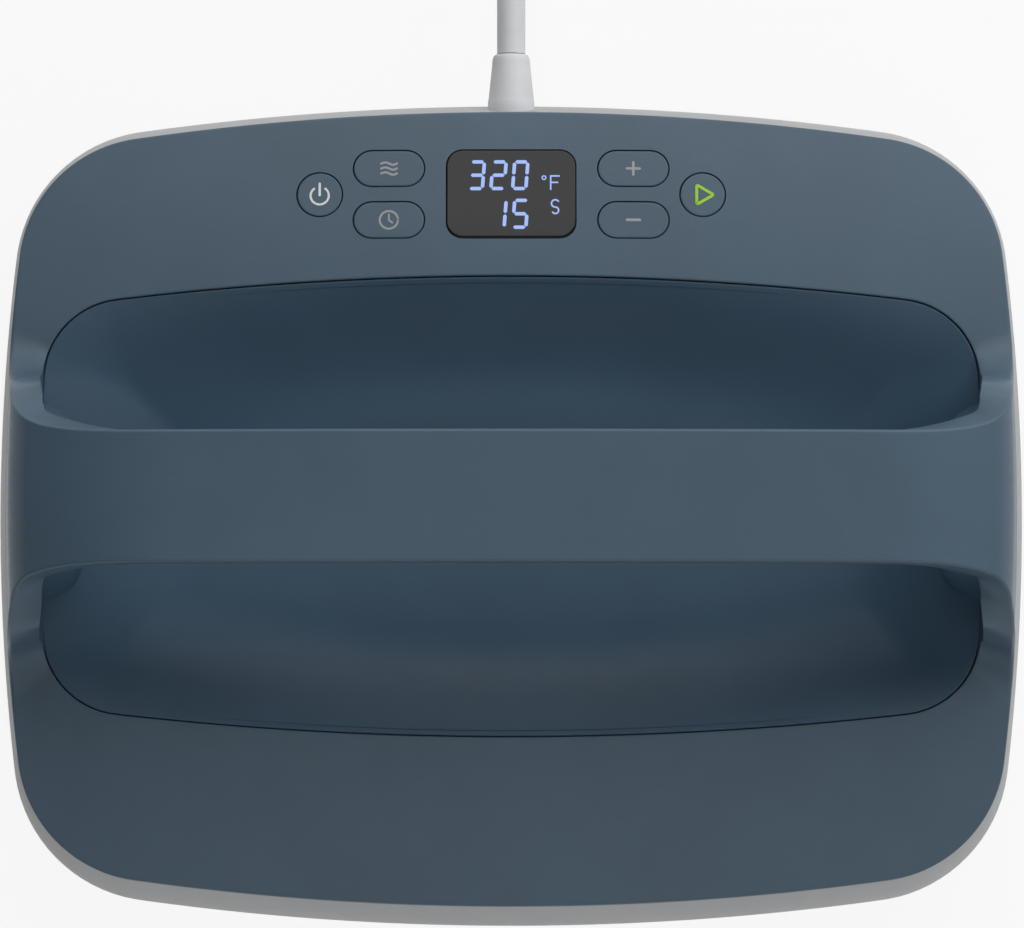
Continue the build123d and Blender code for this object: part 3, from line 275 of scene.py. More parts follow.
@dataclass(frozen=True)
class Arch:
    """The handle's front view at a depth below its outer face: crown, shoulder, corner, flank."""

    depth: float
    corner: float
    shoulder: float
    lean: float = radians(4.0)
    top: float = 124.0
    crown_radius: float = 1700.0
    shoulder_end: float = radians(28.0)
    shoulder_share: float = 0.5
    flank_x: float = 166.2
    flank_height: float = 50.0

    def deeper(self, depth: float) -> Arch:
        """The parallel line that lies this much deeper."""
        corner, shoulder = self.corner - depth, self.shoulder - depth
        return Arch(self.depth + depth, corner, shoulder, self.lean)

    @cached_property
    def crown(self) -> float:
        """The radius of the crown at this depth."""
        return self.crown_radius - self.depth

    @cached_property
    def crown_z(self) -> float:
        """The height of the crown's centre."""
        return self.top - self.crown_radius

    @cached_property
    def foot(self) -> Flat:
        """A point of the flank, level with the foot."""
        dx, dz = self.depth * cos(self.lean), self.depth * sin(self.lean)
        return (self.flank_x - dx, self.flank_height - dz)

    @cached_property
    def apart(self) -> Flat:
        """The step from the shoulder arc's centre to the corner arc's."""
        reach = self.shoulder - self.corner
        return (reach * sin(self.shoulder_end), reach * cos(self.shoulder_end))

    @cached_property
    def centre(self) -> Flat:
        """The centre of the shoulder arc, which touches the crown."""
        start_x = self.foot[0] - self.corner * cos(self.lean) - self.apart[0]
        start_z = self.foot[1] - self.corner * sin(self.lean) - self.apart[1]
        up_x, up_z = -sin(self.lean), cos(self.lean)
        b = start_x * up_x + (start_z - self.crown_z) * up_z
        c = start_x**2 + (start_z - self.crown_z) ** 2 - (self.crown - self.shoulder) ** 2
        rise = -b + sqrt(b * b - c)
        return (start_x + rise * up_x, start_z + rise * up_z)

    @cached_property
    def turn(self) -> float:
        """The angle from upright at which the crown runs into the shoulder."""
        return atan2(self.centre[0], self.centre[1] - self.crown_z)

    def on_crown(self, share: float) -> Flat:
        """A point of the crown, from its middle at 0 to the shoulder at 1."""
        angle = self.turn * share
        return (self.crown * sin(angle), self.crown_z + self.crown * cos(angle))

    def on_corner(self, share: float) -> Flat:
        """A point of the shoulder and corner arcs, from the crown at 0 to the flank at 1."""
        x, z = self.centre
        if share <= self.shoulder_share:
            radius = self.shoulder
            angle = lerp(self.turn, self.shoulder_end, share / self.shoulder_share)
        else:
            radius = self.corner
            along = (share - self.shoulder_share) / (1 - self.shoulder_share)
            angle = lerp(self.shoulder_end, pi / 2 - self.lean, along)
            x, z = x + self.apart[0], z + self.apart[1]
        return (x + radius * sin(angle), z + radius * cos(angle))

    def flank(self, z: float) -> float:
        """Half the width of the flank at a height."""
        return self.foot[0] - (z - self.foot[1]) * tan(self.lean)


SPLIT_DEPTH = 10.4
OUTER_ARCH = Arch(0.0, 14.0, 115.0)
SEAM_ARCH = OUTER_ARCH.deeper(SPLIT_DEPTH + 0.2)
INNER_ARCH = Arch(24.0, 17.0, 17.0, radians(8.0))
HANDLE_CENTRE_Y = -0.8
REAR_EXTRA = 0.5
CORNER_CENTRE = (149.0, 94.9)
REAR_SLOPE = 0.38
REAR_START_X = 116.0
REAR_RUN = 40.0
CORNER_FLARE = {1: 9.0, -1: 14.0}
FLARE_START = {1: radians(10.0), -1: radians(22.0)}
FLARE_END = radians(150.0)


@dataclass(frozen=True)
class LegSpread:
    """How the handle's half depth grows from the crown, round the corners and down the legs."""

    crown: float = 21.1
    growth: float = 0.77
    start_x: float = 136.0
    start_z: float = 118.0
    by_x: float = 0.35
    by_z: float = 0.20
    onset: float = 5.0
    softness: float = 2.5

    def at(self, x: float, z: float) -> float:
        """Half the handle's depth at a place of its front view."""
        reach = self.by_x * (abs(x) - self.start_x) + self.by_z * (self.start_z - z)
        soft = self.softness * log(1 + exp((reach - self.onset) / self.softness))
        return self.crown + self.growth * soft


LEGS = LegSpread()


def half_depth(x: float, z: float, side: int, depth: float) -> float:
    """Half the handle's depth on one side; the rear face flares below the outer skin near the legs.

    Args:
        x: the place along the handle.
        z: the height.
        side: the rear (1) or the front (-1).
        depth: how far the point lies below the outer face.

    Returns:
        The distance from the handle's middle.
    """
    straight = LEGS.at(x, z)
    if side < 0:
        return straight
    slope = REAR_SLOPE * smoothstep((abs(x) - REAR_START_X) / REAR_RUN)
    return straight + REAR_EXTRA + slope * min(max(0.0, depth), SPLIT_DEPTH)


def corner_flare(x: float, z: float, side: int) -> float:
    """How much wider the outer half grows round the handle's corner and down its leg."""
    angle = atan2(max(0.01, abs(x) - CORNER_CENTRE[0]), z - CORNER_CENTRE[1])
    start = FLARE_START[side]
    return CORNER_FLARE[side] * smoothstep((angle - start) / (FLARE_END - start))


def outer_half_depth(x: float, z: float, side: int, depth: float) -> float:
    """Half the depth of the handle's outer half on one side, at a depth below its outer face."""
    return half_depth(x, z, side, depth) + corner_flare(x, z, side)


BOWL_FLOOR = 43.0
BOWL_RUN = 39.0
BOWL_RUN_GAIN = 21.0
BOWL_OVERRUN = 0.6
BOWL_RIM_DROP = 0.4


def bowl_height(x: float, y: float) -> float:
    """The height of the dished liner, which also runs on a little outside the rim."""
    run = BOWL_RUN + BOWL_RUN_GAIN * (x / RECESS.half_x) ** 2
    share = min(1.0, max(-BOWL_OVERRUN, RECESS.depth(x, y) / run))
    rim = DECK.height(x, y) - BOWL_RIM_DROP
    return rim + (BOWL_FLOOR - rim) * sin(pi / 2 * share)


# Mesh building


ROUND_ROOM = 0.94
HOLD_ROOM = 0.97


def linked(name: str, data: bpy.types.ID) -> bpy.types.Object:
    """A new object in the scene that shows this data."""
    thing = bpy.data.objects.new(name, data)
    bpy.context.scene.collection.objects.link(thing)
    return thing


class Skin:
    """Gathers welded vertices and faces in millimetres and turns them into a mesh object."""

    def __init__(self) -> None:
        """Starts empty."""
        self.points: list[Point] = []
        self.faces: list[tuple[int, ...]] = []
        self.seen: dict[tuple[int, int, int], int] = {}

    def point(self, place: Sequence[float]) -> int:
        """The index of the vertex at a place, added if it is new."""
        key = tuple(round(v / WELD) for v in place)
        for dx in (0, -1, 1):
            for dy in (0, -1, 1):
                for dz in (0, -1, 1):
                    near = (key[0] + dx, key[1] + dy, key[2] + dz)
                    if near in self.seen:
                        return self.seen[near]
        self.seen[key] = len(self.points)
        self.points.append(tuple(place))
        return self.seen[key]

    def face(self, indices: Iterable[int]) -> None:
        """Adds a face, without repeated vertices."""
        ring = tuple(dict.fromkeys(indices))
        if len(ring) > 2:
            self.faces.append(ring)

    def lid(self, ring: Sequence[Sequence[float]]) -> None:
        """Closes a ring of points with one face."""
        self.face(self.point(p) for p in ring)

    def grid(
        self,
        rows: Sequence[Sequence[Sequence[float]]],
        closed: bool = False,
        flip: bool = False,
        skip: Optional[Callable[[int, int], bool]] = None,
    ) -> None:
        """Adds a grid of quads.

        Args:
            rows: rows of points, all of one length.
            closed: whether each row runs on from its last point to its first.
            flip: whether the faces turn the other way.
            skip: says for a row and column whether that face is left out.
        """
        indices = [[self.point(p) for p in row] for row in rows]
        width = len(indices[0])
        for i in range(len(indices) - 1):
            for j in range(width if closed else width - 1):
                if skip and skip(i, j):
                    continue
                k = (j + 1) % width
                quad = (indices[i][j], indices[i][k], indices[i + 1][k], indices[i + 1][j])
                self.face(quad[::-1] if flip else quad)

    def tube(self, rows: Sequence[Sequence[Sequence[float]]]) -> None:
        """Adds a closed body of rings of points, with a lid at each end."""
        self.grid(rows, closed=True)
        self.lid(rows[0])
        self.lid(rows[-1])

    def strip(self, ring: Sequence[int]) -> None:
        """Closes a long ring of vertices with quads from its one side to its other."""
        for i in range(len(ring) // 2 - 1):
            self.face((ring[i], ring[i + 1], ring[-2 - i], ring[-1 - i]))

    def fan(self, ring: Sequence[Sequence[float]], middle: Sequence[float]) -> None:
        """Closes a ring of points with triangles round its middle."""
        self.grid([ring, [middle] * len(ring)], closed=True)

    def thicken(self, depth: float) -> None:
        """Turns the open sheet into a closed shell that reaches this far behind its faces."""
        count = len(self.points)
        places = [Vector(p) for p in self.points]
        normals = [Vector((0, 0, 0)) for _ in places]
        edges: dict[frozenset[int], list[tuple[int, int]]] = {}
        for ring in self.faces:
            normal = Vector((0, 0, 0))
            for a, b in zip(ring[1:], ring[2:]):
                normal += (places[a] - places[ring[0]]).cross(places[b] - places[ring[0]])
            normal.normalize()
            for before, a, b in zip(ring[-1:] + ring, ring, ring[1:] + ring[:1]):
                one, other = places[b] - places[a], places[before] - places[a]
                normals[a] += normal * one.angle(other, 0.0)
                edges.setdefault(frozenset((a, b)), []).append((a, b))
        self.points += [tuple(p - n.normalized() * depth) for p, n in zip(places, normals)]
        self.faces += [tuple(i + count for i in ring[::-1]) for ring in self.faces]
        for uses in edges.values():
            if len(uses) == 1:
                a, b = uses[0]
                self.faces.append((b, a, a + count, b + count))

    def build(self, name: str, finish: Finish, sharp: float = 38.0) -> bpy.types.Object:
        """Makes the closed shape's object, smooth-shaded up to an angle, with its faces outward.

        Args:
            name: the piece's name.
            finish: what it is made of.
            sharp: the angle in degrees past which an edge stays crisp.

        Returns:
            The new object, linked to the scene.
        """
        mesh = bpy.data.meshes.new(name)
        mesh.from_pydata([tuple(v * MM for v in p) for p in self.points], [], self.faces)
        mesh.materials.append(finish.paint)
        shape = bmesh.new()
        shape.from_mesh(mesh)
        bmesh.ops.recalc_face_normals(shape, faces=shape.faces)
        shape.to_mesh(mesh)
        shape.free()
        mesh.shade_smooth()
        mesh.set_sharp_from_angle(angle=radians(sharp))
        mesh.validate()
        LOG.info("%s: %d faces", name, len(mesh.polygons))
        return linked(name, mesh)


def rounded(line: Sequence[Sequence[float]], at: int, radius: float, steps: int, rest: float) -> Row:
    """A line whose corner at one of its points is rounded.

    Args:
        line: the points of the line.
        at: the index of the corner.
        radius: the radius of the round.
        steps: how many faces the round takes.
        rest: how far beyond the round one more point holds the flat part.

    Returns:
        The new line, which has steps + 2 points more.
    """
    corner = Vector(line[at])
    back = Vector(line[at - 1]) - corner
    ahead = Vector(line[at + 1]) - corner
    back_room, ahead_room = back.length * ROUND_ROOM, ahead.length * ROUND_ROOM
    back.normalize()
    ahead.normalize()
    half = back.angle(ahead, pi) / 2
    reach = min(radius / tan(half) if half < pi / 2 - 1e-4 else 0.01, back_room, ahead_room)
    reach = max(reach, 1e-3)
    tight = reach * tan(half)
    bisector = back + ahead
    if bisector.length < 1e-6:
        arc = [corner + back * reach * (1 - 2 * s) for s in shares(steps)]
    else:
        bisector.normalize()
        centre = corner + bisector * (tight / sin(half))
        start = corner + back * reach - centre
        finish = corner + ahead * reach - centre
        sweep = start.angle(finish, 0.0)
        arc = []
        for s in shares(steps):
            if sweep < 1e-5:
                arc.append(centre + start.lerp(finish, s))
                continue
            a = sin((1 - s) * sweep) / sin(sweep)
            b = sin(s * sweep) / sin(sweep)
            arc.append(centre + start * a + finish * b)
    first = corner + back * min(reach + rest, back_room / ROUND_ROOM * HOLD_ROOM)
    last = corner + ahead * min(reach + rest, ahead_room / ROUND_ROOM * HOLD_ROOM)
    middle = [tuple(first)] + [tuple(p) for p in arc] + [tuple(last)]
    return [tuple(p) for p in line[:at]] + middle + [tuple(p) for p in line[at + 1 :]]


# Shader expressions


class Socket:
    """A shader socket that takes part in sums, each of which adds a Math node."""

    def __init__(self, tree: Tree, output: bpy.types.NodeSocket) -> None:
        """Wraps an output of a node."""
        self.tree = tree
        self.output = output

    def _math(self, operation: str, *values: Number) -> Socket:
        """Adds a Math node."""
        return self.tree.node("ShaderNodeMath", dict(enumerate(values)), operation=operation)

    def __add__(self, other: Number) -> Socket:
        """The sum."""
        return self._math("ADD", self, other)

    def __mul__(self, other: Number) -> Socket:
        """The product."""
        return self._math("MULTIPLY", self, other)

    def __sub__(self, other: Number) -> Socket:
        """The difference."""
        return self._math("SUBTRACT", self, other)

    def __rsub__(self, other: Number) -> Socket:
        """The difference, taken from a number."""
        return self._math("SUBTRACT", other, self)

    def power(self, exponent: Number) -> Socket:
        """The value raised to a power."""
        return self._math("POWER", self, exponent)

    def smooth(self, low: float, high: float) -> Socket:
        """Eases from 0 at low to 1 at high."""
        inputs = {"Value": self, "From Min": low, "From Max": high}
        return self.tree.node("ShaderNodeMapRange", inputs, interpolation_type="SMOOTHSTEP")


Number = Union[Socket, float]


class Tree:
    """One material's nodes, with a Principled shader that the finishes set up."""

    def __init__(self, name: str) -> None:
        """Makes a material that holds only its shader and output."""
        self.material = bpy.data.materials.new(name)
        self.material.use_nodes = True
        self.nodes = self.material.node_tree.nodes
        self.links = self.material.node_tree.links
        self.nodes.clear()
        self.shader = self.nodes.new("ShaderNodeBsdfPrincipled")
        self.end = self.nodes.new("ShaderNodeOutputMaterial")
        self.links.new(self.shader.outputs[0], self.end.inputs["Surface"])

    @classmethod
    def over(cls, group: bpy.types.NodeTree) -> Tree:
        """The tree of a world or a geometry node group."""
        tree = cls.__new__(cls)
        tree.nodes, tree.links = group.nodes, group.links
        return tree

    def node(
        self,
        kind: str,
        inputs: Optional[dict[Union[str, int], object]] = None,
        output: Union[str, int] = 0,
        **settings: object,
    ) -> Socket:
        """Adds a node.

        Args:
            kind: the node's type.
            inputs: values or sockets for its inputs.
            output: which of its outputs is wanted.
            **settings: the node's own options, set first.

        Returns:
            That output.
        """
        made = self.nodes.new(kind)
        for key, value in settings.items():
            setattr(made, key, value)
        for key, value in (inputs or {}).items():
            self.feed(made.inputs[key], value)
        return Socket(self, made.outputs[output])

    def feed(self, target: bpy.types.NodeSocket, value: object) -> None:
        """Links a socket or several, or sets a value."""
        if isinstance(value, Socket):
            self.links.new(value.output, target)
        elif isinstance(value, list):
            for each in value:
                self.links.new(each.output, target)
        elif isinstance(value, tuple) and len(value) == 3 and target.type == "RGBA":
            target.default_value = (*value, 1.0)
        else:
            target.default_value = value

    def set(self, **inputs: object) -> None:
        """Sets or links inputs of the Principled shader, named with underscores."""
        for key, value in inputs.items():
            self.feed(self.shader.inputs[key.replace("_", " ")], value)

    def place(self, stretch: Point = (1.0, 1.0, 1.0)) -> Socket:
        """Object coordinates in metres, stretched along the axes."""
        spot = self.node("ShaderNodeTexCoord", output="Object")
        if stretch == (1.0, 1.0, 1.0):
            return spot
        return self.node("ShaderNodeMapping", {"Vector": spot, "Scale": stretch})

    def noise(self, size_mm: float, detail: float = 2.0, stretch: Point = (1.0, 1.0, 1.0)) -> Socket:
        """Noise whose grains are about this large."""
        inputs = {"Vector": self.place(stretch), "Scale": 1.0 / (size_mm * MM), "Detail": detail}
        return self.node("ShaderNodeTexNoise", inputs)

    def blend(self, share: Number, first: object, second: object) -> Socket:
        """A colour between two, by a share."""
        return self.node("ShaderNodeMix", {0: share, 6: first, 7: second}, 2, data_type="RGBA")

    def bump(self, height: Socket, depth_mm: float, strength: float = 1.0) -> Socket:
        """A normal from a height between 0 and 1."""
        inputs = {"Strength": strength, "Distance": depth_mm * MM, "Height": height}
        return self.node("ShaderNodeBump", inputs)


Colour = tuple[float, float, float]


def from_screen(red: int, green: int, blue: int) -> Colour:
    """A colour written as it shows on screen, from 0 to 255, as linear light."""
    return tuple(
        v / 255 / 12.92 if v / 255 <= 0.04045 else ((v / 255 + 0.055) / 1.055) ** 2.4
        for v in (red, green, blue)
    )


def scaled(colour: Colour, factor: float) -> Colour:
    """A colour made lighter or darker."""
    return tuple(min(1.0, v * factor) for v in colour)


@dataclass(frozen=True)
class Surface:
    """What all finishes share: a name, a colour and the making of the material."""

    name: str
    colour: Colour

    def inputs(self, tree: Tree) -> dict[str, object]:
        """What the finish sets or links in its shader."""
        raise NotImplementedError

    def material(self) -> bpy.types.Material:
        """The finish as a material."""
        tree = Tree(self.name)
        tree.set(**self.inputs(tree))
        return tree.material


@dataclass(frozen=True)
class MouldedPlastic(Surface):
    """Injection-moulded plastic with a fine spark texture and faint flow marks."""

    roughness: float = 0.42
    grain_mm: float = 0.35
    grain_depth: float = 0.012
    drift: float = 0.05
    specular: float = 0.5

    def inputs(self, tree: Tree) -> dict[str, object]:
        """The shader's inputs."""
        cloud = tree.noise(38.0, 3.0)
        speck = tree.noise(self.grain_mm * 2.4, 2.0)
        share = (cloud * 0.7 + speck * 0.3).smooth(0.3, 0.7)
        dark = scaled(self.colour, 1 - self.drift)
        light = scaled(self.colour, 1 + self.drift)
        rub = tree.noise(7.0, 4.0, (1.0, 3.0, 1.0))
        return dict(
            Base_Color=tree.blend(share, dark, light),
            Roughness=rub.smooth(0.25, 0.75) * 0.06 + (self.roughness - 0.03),
            Normal=tree.bump(tree.noise(self.grain_mm, 3.0), self.grain_depth, 0.6),
            Specular_IOR_Level=self.specular,
        )


@dataclass(frozen=True)
class SmokedWindow(Surface):
    """Polished near-black plastic with the faint marks of wiping."""

    roughness: float = 0.1
    specular: float = 0.4

    def inputs(self, tree: Tree) -> dict[str, object]:
        """The shader's inputs."""
        smear = tree.noise(9.0, 5.0, (1.0, 4.0, 1.0)).smooth(0.45, 0.8)
        return dict(
            Base_Color=tree.blend(smear, self.colour, scaled(self.colour, 1.15)),
            Roughness=smear * 0.06 + self.roughness,
            Normal=tree.bump(tree.noise(16.0, 1.0), 0.02, 0.2),
            Specular_IOR_Level=self.specular,
        )


@dataclass(frozen=True)
class Ink(Surface):
    """Printed or lit marks, slightly uneven like a screen print."""

    lit: bool = False

    def inputs(self, tree: Tree) -> dict[str, object]:
        """The shader's inputs."""
        patch = tree.noise(0.6, 2.0).smooth(0.3, 0.7)
        colour = tree.blend(patch, scaled(self.colour, 0.95), self.colour)
        if not self.lit:
            return dict(Base_Color=colour, Roughness=0.5)
        return dict(
            Emission_Color=colour,
            Emission_Strength=1.0,
            Base_Color=scaled(self.colour, 0.02),
            Roughness=0.5,
            Specular_IOR_Level=0.0,
        )


@dataclass(frozen=True)
class CordJacket(Surface):
    """Extruded jacket with fine lines across its length and a soft sheen."""

    roughness: float = 0.4

    def inputs(self, tree: Tree) -> dict[str, object]:
        """The shader's inputs."""
        soil = tree.noise(22.0, 4.0).smooth(0.35, 0.75)
        skin = tree.noise(0.5, 3.0)
        return dict(
            Base_Color=tree.blend(soil, self.colour, scaled(self.colour, 0.93)),
            Roughness=soil * 0.08 + self.roughness,
            Normal=tree.bump(skin, 0.01, 0.5),
        )


@dataclass(frozen=True)
class BareMetal(Surface):
    """Rolled, drawn or plated metal with directional scratches."""

    roughness: float = 0.32
    stretch: Point = (1.0, 14.0, 14.0)
    scratch_mm: float = 3.0

    def inputs(self, tree: Tree) -> dict[str, object]:
        """The shader's inputs."""
        lines = tree.noise(self.scratch_mm, 5.0, self.stretch)
        tarnish = tree.noise(18.0, 4.0).smooth(0.4, 0.75)
        return dict(
            Base_Color=tree.blend(tarnish, self.colour, scaled(self.colour, 0.85)),
            Metallic=1.0,
            Roughness=lines.smooth(0.3, 0.7) * 0.16 + (self.roughness - 0.06),
            Normal=tree.bump(lines, 0.008, 0.5),
        )


@dataclass(frozen=True)
class NonStick(Surface):
    """Sintered dark coating with pale specks over a bead-blasted plate."""

    def inputs(self, tree: Tree) -> dict[str, object]:
        """The shader's inputs."""
        speck = tree.noise(0.9, 2.0).smooth(0.66, 0.72)
        rub = tree.noise(30.0, 4.0, (1.0, 2.0, 1.0)).smooth(0.4, 0.8)
        return dict(
            Base_Color=tree.blend(speck, self.colour, scaled(self.colour, 3.0)),
            Roughness=rub * 0.1 + 0.42,
            Normal=tree.bump(tree.noise(0.45, 3.0), 0.02, 0.7),
        )


@dataclass(frozen=True)
class FibreFelt(Surface):
    """Felted ceramic fibre with loose strands and soft hollows."""

    def inputs(self, tree: Tree) -> dict[str, object]:
        """The shader's inputs."""
        strand = tree.noise(1.2, 6.0, (1.0, 5.0, 1.0))
        lump = tree.noise(14.0, 3.0)
        return dict(
            Base_Color=tree.blend(strand, scaled(self.colour, 0.82), self.colour),
            Roughness=0.95,
            Normal=tree.bump(strand * 0.4 + lump * 0.6, 0.6, 0.8),
        )


@dataclass(frozen=True)
class BoardMask(Surface):
    """Solder mask over copper, whose tracks show as paler blocks."""

    def inputs(self, tree: Tree) -> dict[str, object]:
        """The shader's inputs."""
        inputs = {"Vector": tree.place((1.0, 1.0, 0.02)), "Scale": 260.0}
        cells = tree.node("ShaderNodeTexVoronoi", inputs, distance="CHEBYCHEV")
        track = cells.smooth(0.32, 0.36)
        return dict(
            Base_Color=tree.blend(track, self.colour, scaled(self.colour, 1.7)),
            Roughness=track * 0.1 + 0.28,
            Normal=tree.bump(track, 0.03, 0.6),
        )


@dataclass(frozen=True)
class ClearGlass(Surface):
    """The fuse's glass barrel."""

    def inputs(self, tree: Tree) -> dict[str, object]:
        """The shader's inputs."""
        return dict(Base_Color=self.colour, Roughness=tree.noise(3.0, 3.0) * 0.1, Alpha=0.45)


class Finish(Enum):
    """Every finish of the press, by what it is on."""

    COVER = MouldedPlastic("cover_plastic", (0.082, 0.138, 0.195), 0.46)
    LINER = MouldedPlastic("liner_plastic", (0.052, 0.108, 0.172), 0.44, grain_mm=0.3)
    HOUSING = MouldedPlastic("housing_plastic", from_screen(190, 192, 194), 0.5, drift=0.03)
    KEY = MouldedPlastic("key_plastic", (0.083, 0.139, 0.196), 0.45, grain_mm=0.25)
    INNER = MouldedPlastic("inner_plastic", from_screen(44, 46, 49), 0.5)
    WINDOW = SmokedWindow("display_window", from_screen(30, 31, 34))
    PLATE = NonStick("plate_coating", from_screen(48, 48, 52))
    CORD = CordJacket("cord_jacket", from_screen(240, 242, 244))
    BOOT = CordJacket("boot_rubber", from_screen(242, 244, 246), 0.45)
    WIRE = CordJacket("wire_insulation", from_screen(215, 214, 206), 0.5)
    RIBBON = CordJacket("ribbon_jacket", from_screen(150, 152, 156), 0.45)
    SILICONE = CordJacket("seal_silicone", from_screen(160, 62, 46), 0.6)
    STEEL = BareMetal("sheath_steel", from_screen(150, 148, 146), 0.4)
    ZINC = BareMetal("zinc_plate", from_screen(190, 192, 196), 0.34)
    ALUMINIUM = BareMetal("heatsink_aluminium", from_screen(196, 198, 201), 0.36)
    NICKEL = BareMetal("blade_nickel", from_screen(205, 202, 196), 0.22)
    FELT = FibreFelt("fibre_felt", from_screen(232, 229, 220))
    BOARD = BoardMask("board_mask", from_screen(28, 92, 52))
    YELLOW = MouldedPlastic("capacitor_yellow", from_screen(214, 168, 52), 0.3, specular=0.6)
    BLUE = MouldedPlastic("component_blue", from_screen(42, 72, 150), 0.3, specular=0.6)
    GLASS = ClearGlass("fuse_glass", (0.8, 0.86, 0.86))
    WHITE_INK = Ink("white_ink", from_screen(250, 250, 250))
    GREY_INK = Ink("grey_ink", from_screen(176, 180, 181))
    LIME_INK = Ink("lime_ink", from_screen(178, 236, 36))
    DIGIT = Ink("lit_digit", from_screen(170, 194, 255), lit=True)

    @property
    def paint(self) -> bpy.types.Material:
        """The material, made once."""
        made = bpy.data.materials.get(self.value.name)
        return made if made else self.value.material()


# The top cover


@dataclass(frozen=True)
class Foot:
    """The hollow curve between a leg's face and the deck, seen from the side at one x."""

    centre_v: float
    centre_z: float
    start: float
    finish: float
    radius: float

    def at(self, share: float) -> Flat:
        """The point of the curve, from the leg at 0 to the deck at 1."""
        dv, dz = self.inward(share)
        return (self.centre_v + self.radius * dv, self.centre_z + self.radius * dz)

    def inward(self, share: float) -> Flat:
        """The direction into the material there."""
        angle = lerp(self.start, self.finish, share)
        return (cos(angle), sin(angle))


@dataclass
class TopCover:
    """The cover: two decks, side strips and the outer half of the handle, in one shell."""

    parting: float = 45.0
    split_depth: float = SPLIT_DEPTH
    foot_radius: float = 20.0
    foot_inner_radius: float = 12.0
    foot_top: float = 90.0
    foot_guess: Flat = (163.0, 154.0)
    foot_rounds: int = 5
    lean_hold: float = 30.0
    lean_fade: float = 30.0
    step_in: float = 0.4
    step_rise: float = 5.0
    edge_round: float = 1.0
    lip_round: float = 0.5
    seam_round: float = 0.3
    lip_depth: float = 7.0
    seam_depth: float = 2.2
    wall: float = 1.1
    crown_steps: int = 40
    corner_steps: int = 28
    leg_steps: int = 14
    spine_steps: int = 12
    foot_steps: int = 26
    strip_steps: int = 22
    deck_steps: int = 56
    outer_rows: int = 6
    ring_rows: int = 8
    round_steps: int = 6
    panel_row: int = 12

    def foot(self, x: float, inside: float, side: int) -> Foot:
        """The foot's curve at this x, on the rear side (1) or the front side (-1)."""
        radius = lerp(self.foot_radius, self.foot_inner_radius, inside)
        return foot_curve(round(x, 2), side, radius)

    def lean(self, v: float, z: float) -> float:
        """How far the flank leans in from the cover's outline."""
        weight = 1 - smoothstep((abs(v) - self.lean_hold) / self.lean_fade)
        step = self.step_in * smoothstep((z - self.parting) / self.step_rise)
        return (step + tan(OUTER_ARCH.lean) * max(0.0, z - OUTER_ARCH.flank_height)) * weight

    def flank(self, v: float, z: float) -> float:
        """The x of the flank's outer face."""
        return COVER.x_at(v) - self.lean(v, z)

    def crown_line(self, share: float, depth: float, part: str) -> Flat:
        """A point of the arch at a depth, on its crown or corner."""
        arch = OUTER_ARCH.deeper(depth)
        return arch.on_crown(share) if part == "crown" else arch.on_corner(share)

    def handle_line(self, part: str, share: float, side: int) -> Row:
        """The line across the handle's outer face and down its side face, on crown or corner."""
        bow = 0.0 if part == "crown" else smoothstep(share)
        line: Row = []
        x, z = self.crown_line(share, 0.0, part)
        edge = outer_half_depth(x, z, side, 0.0)
        for s in shares(self.outer_rows):
            v = side * HANDLE_CENTRE_Y * (1 - s) + (side * HANDLE_CENTRE_Y + edge) * s
            line.append((x - bow * v * v / (2 * COVER.side), v, z))
        for s in shares(self.ring_rows)[1:]:
            depth = self.split_depth * s
            xd, zd = self.crown_line(share, depth, part)
            v = side * HANDLE_CENTRE_Y + outer_half_depth(xd, zd, side, depth)
            line.append((xd - bow * v * v / (2 * COVER.side), v, zd))
        line.append(self.seam_point(line[-1], side))
        return line

    def seam_point(self, edge: Point, side: int) -> Point:
        """The inner end of the flange that reaches from the outer half's edge to the inner half."""
        x, v, z = edge
        return (x, v - self.seam_depth - corner_flare(x, z, side), z)

    def leg_point(self, z: float, depth: float, side: int) -> Point:
        """A point of the leg's side face at a height and a depth."""
        v = side * HANDLE_CENTRE_Y + outer_half_depth(OUTER_ARCH.flank(z) - depth, z, side, depth)
        x = self.flank(v, z) - depth * cos(OUTER_ARCH.lean)
        v = side * HANDLE_CENTRE_Y + outer_half_depth(x, z, side, depth)
        return (x, v, z - depth * sin(OUTER_ARCH.lean))

    def foot_point(self, share: float, inside: float, side: int) -> Point:
        """A point of the foot's curve, from the outer edge (inside 0) to the inner (inside 1)."""
        x = lerp(*self.foot_guess, inside)
        for _ in range(self.foot_rounds):
            v, z = self.foot(x, inside, side).at(share)
            leg = self.flank(v, z) - self.split_depth * cos(OUTER_ARCH.lean) * inside
            deck = lerp(self.flank(v, z), RECESS.x_at(v), inside)
            x = lerp(min(leg, deck), deck, smoothstep(share))
        return (x, v, z)

    def flank_line(self, spine: Flat, edge: Flat) -> Row:
        """Points over the flank from the spine to just before the edge."""
        points = [mix(spine, edge, s) for s in shares(self.outer_rows)[:-1]]
        return [(self.flank(v, z), v, z) for v, z in points]

    def leg_line(self, share: float, side: int) -> Row:
        """The line across the flank and down the leg's side face, between corner and foot."""
        high = OUTER_ARCH.on_corner(1.0)[1]
        edge_low = self.foot_point(0.0, 0.0, side)[2]
        spine_z = lerp(high, self.foot_top, share)
        edge_z = lerp(high, edge_low, share)
        edge_v = self.leg_point(edge_z, 0.0, side)[1]
        line = self.flank_line((side * HANDLE_CENTRE_Y, spine_z), (edge_v, edge_z))
        line.append((self.flank(edge_v, edge_z), edge_v, edge_z))
        for s in shares(self.ring_rows)[1:]:
            depth = self.split_depth * s
            low = self.foot_point(0.0, s, side)[2] + depth * sin(OUTER_ARCH.lean)
            line.append(self.leg_point(lerp(high, low, share), depth, side))
        line.append(self.seam_point(line[-1], side))
        return line

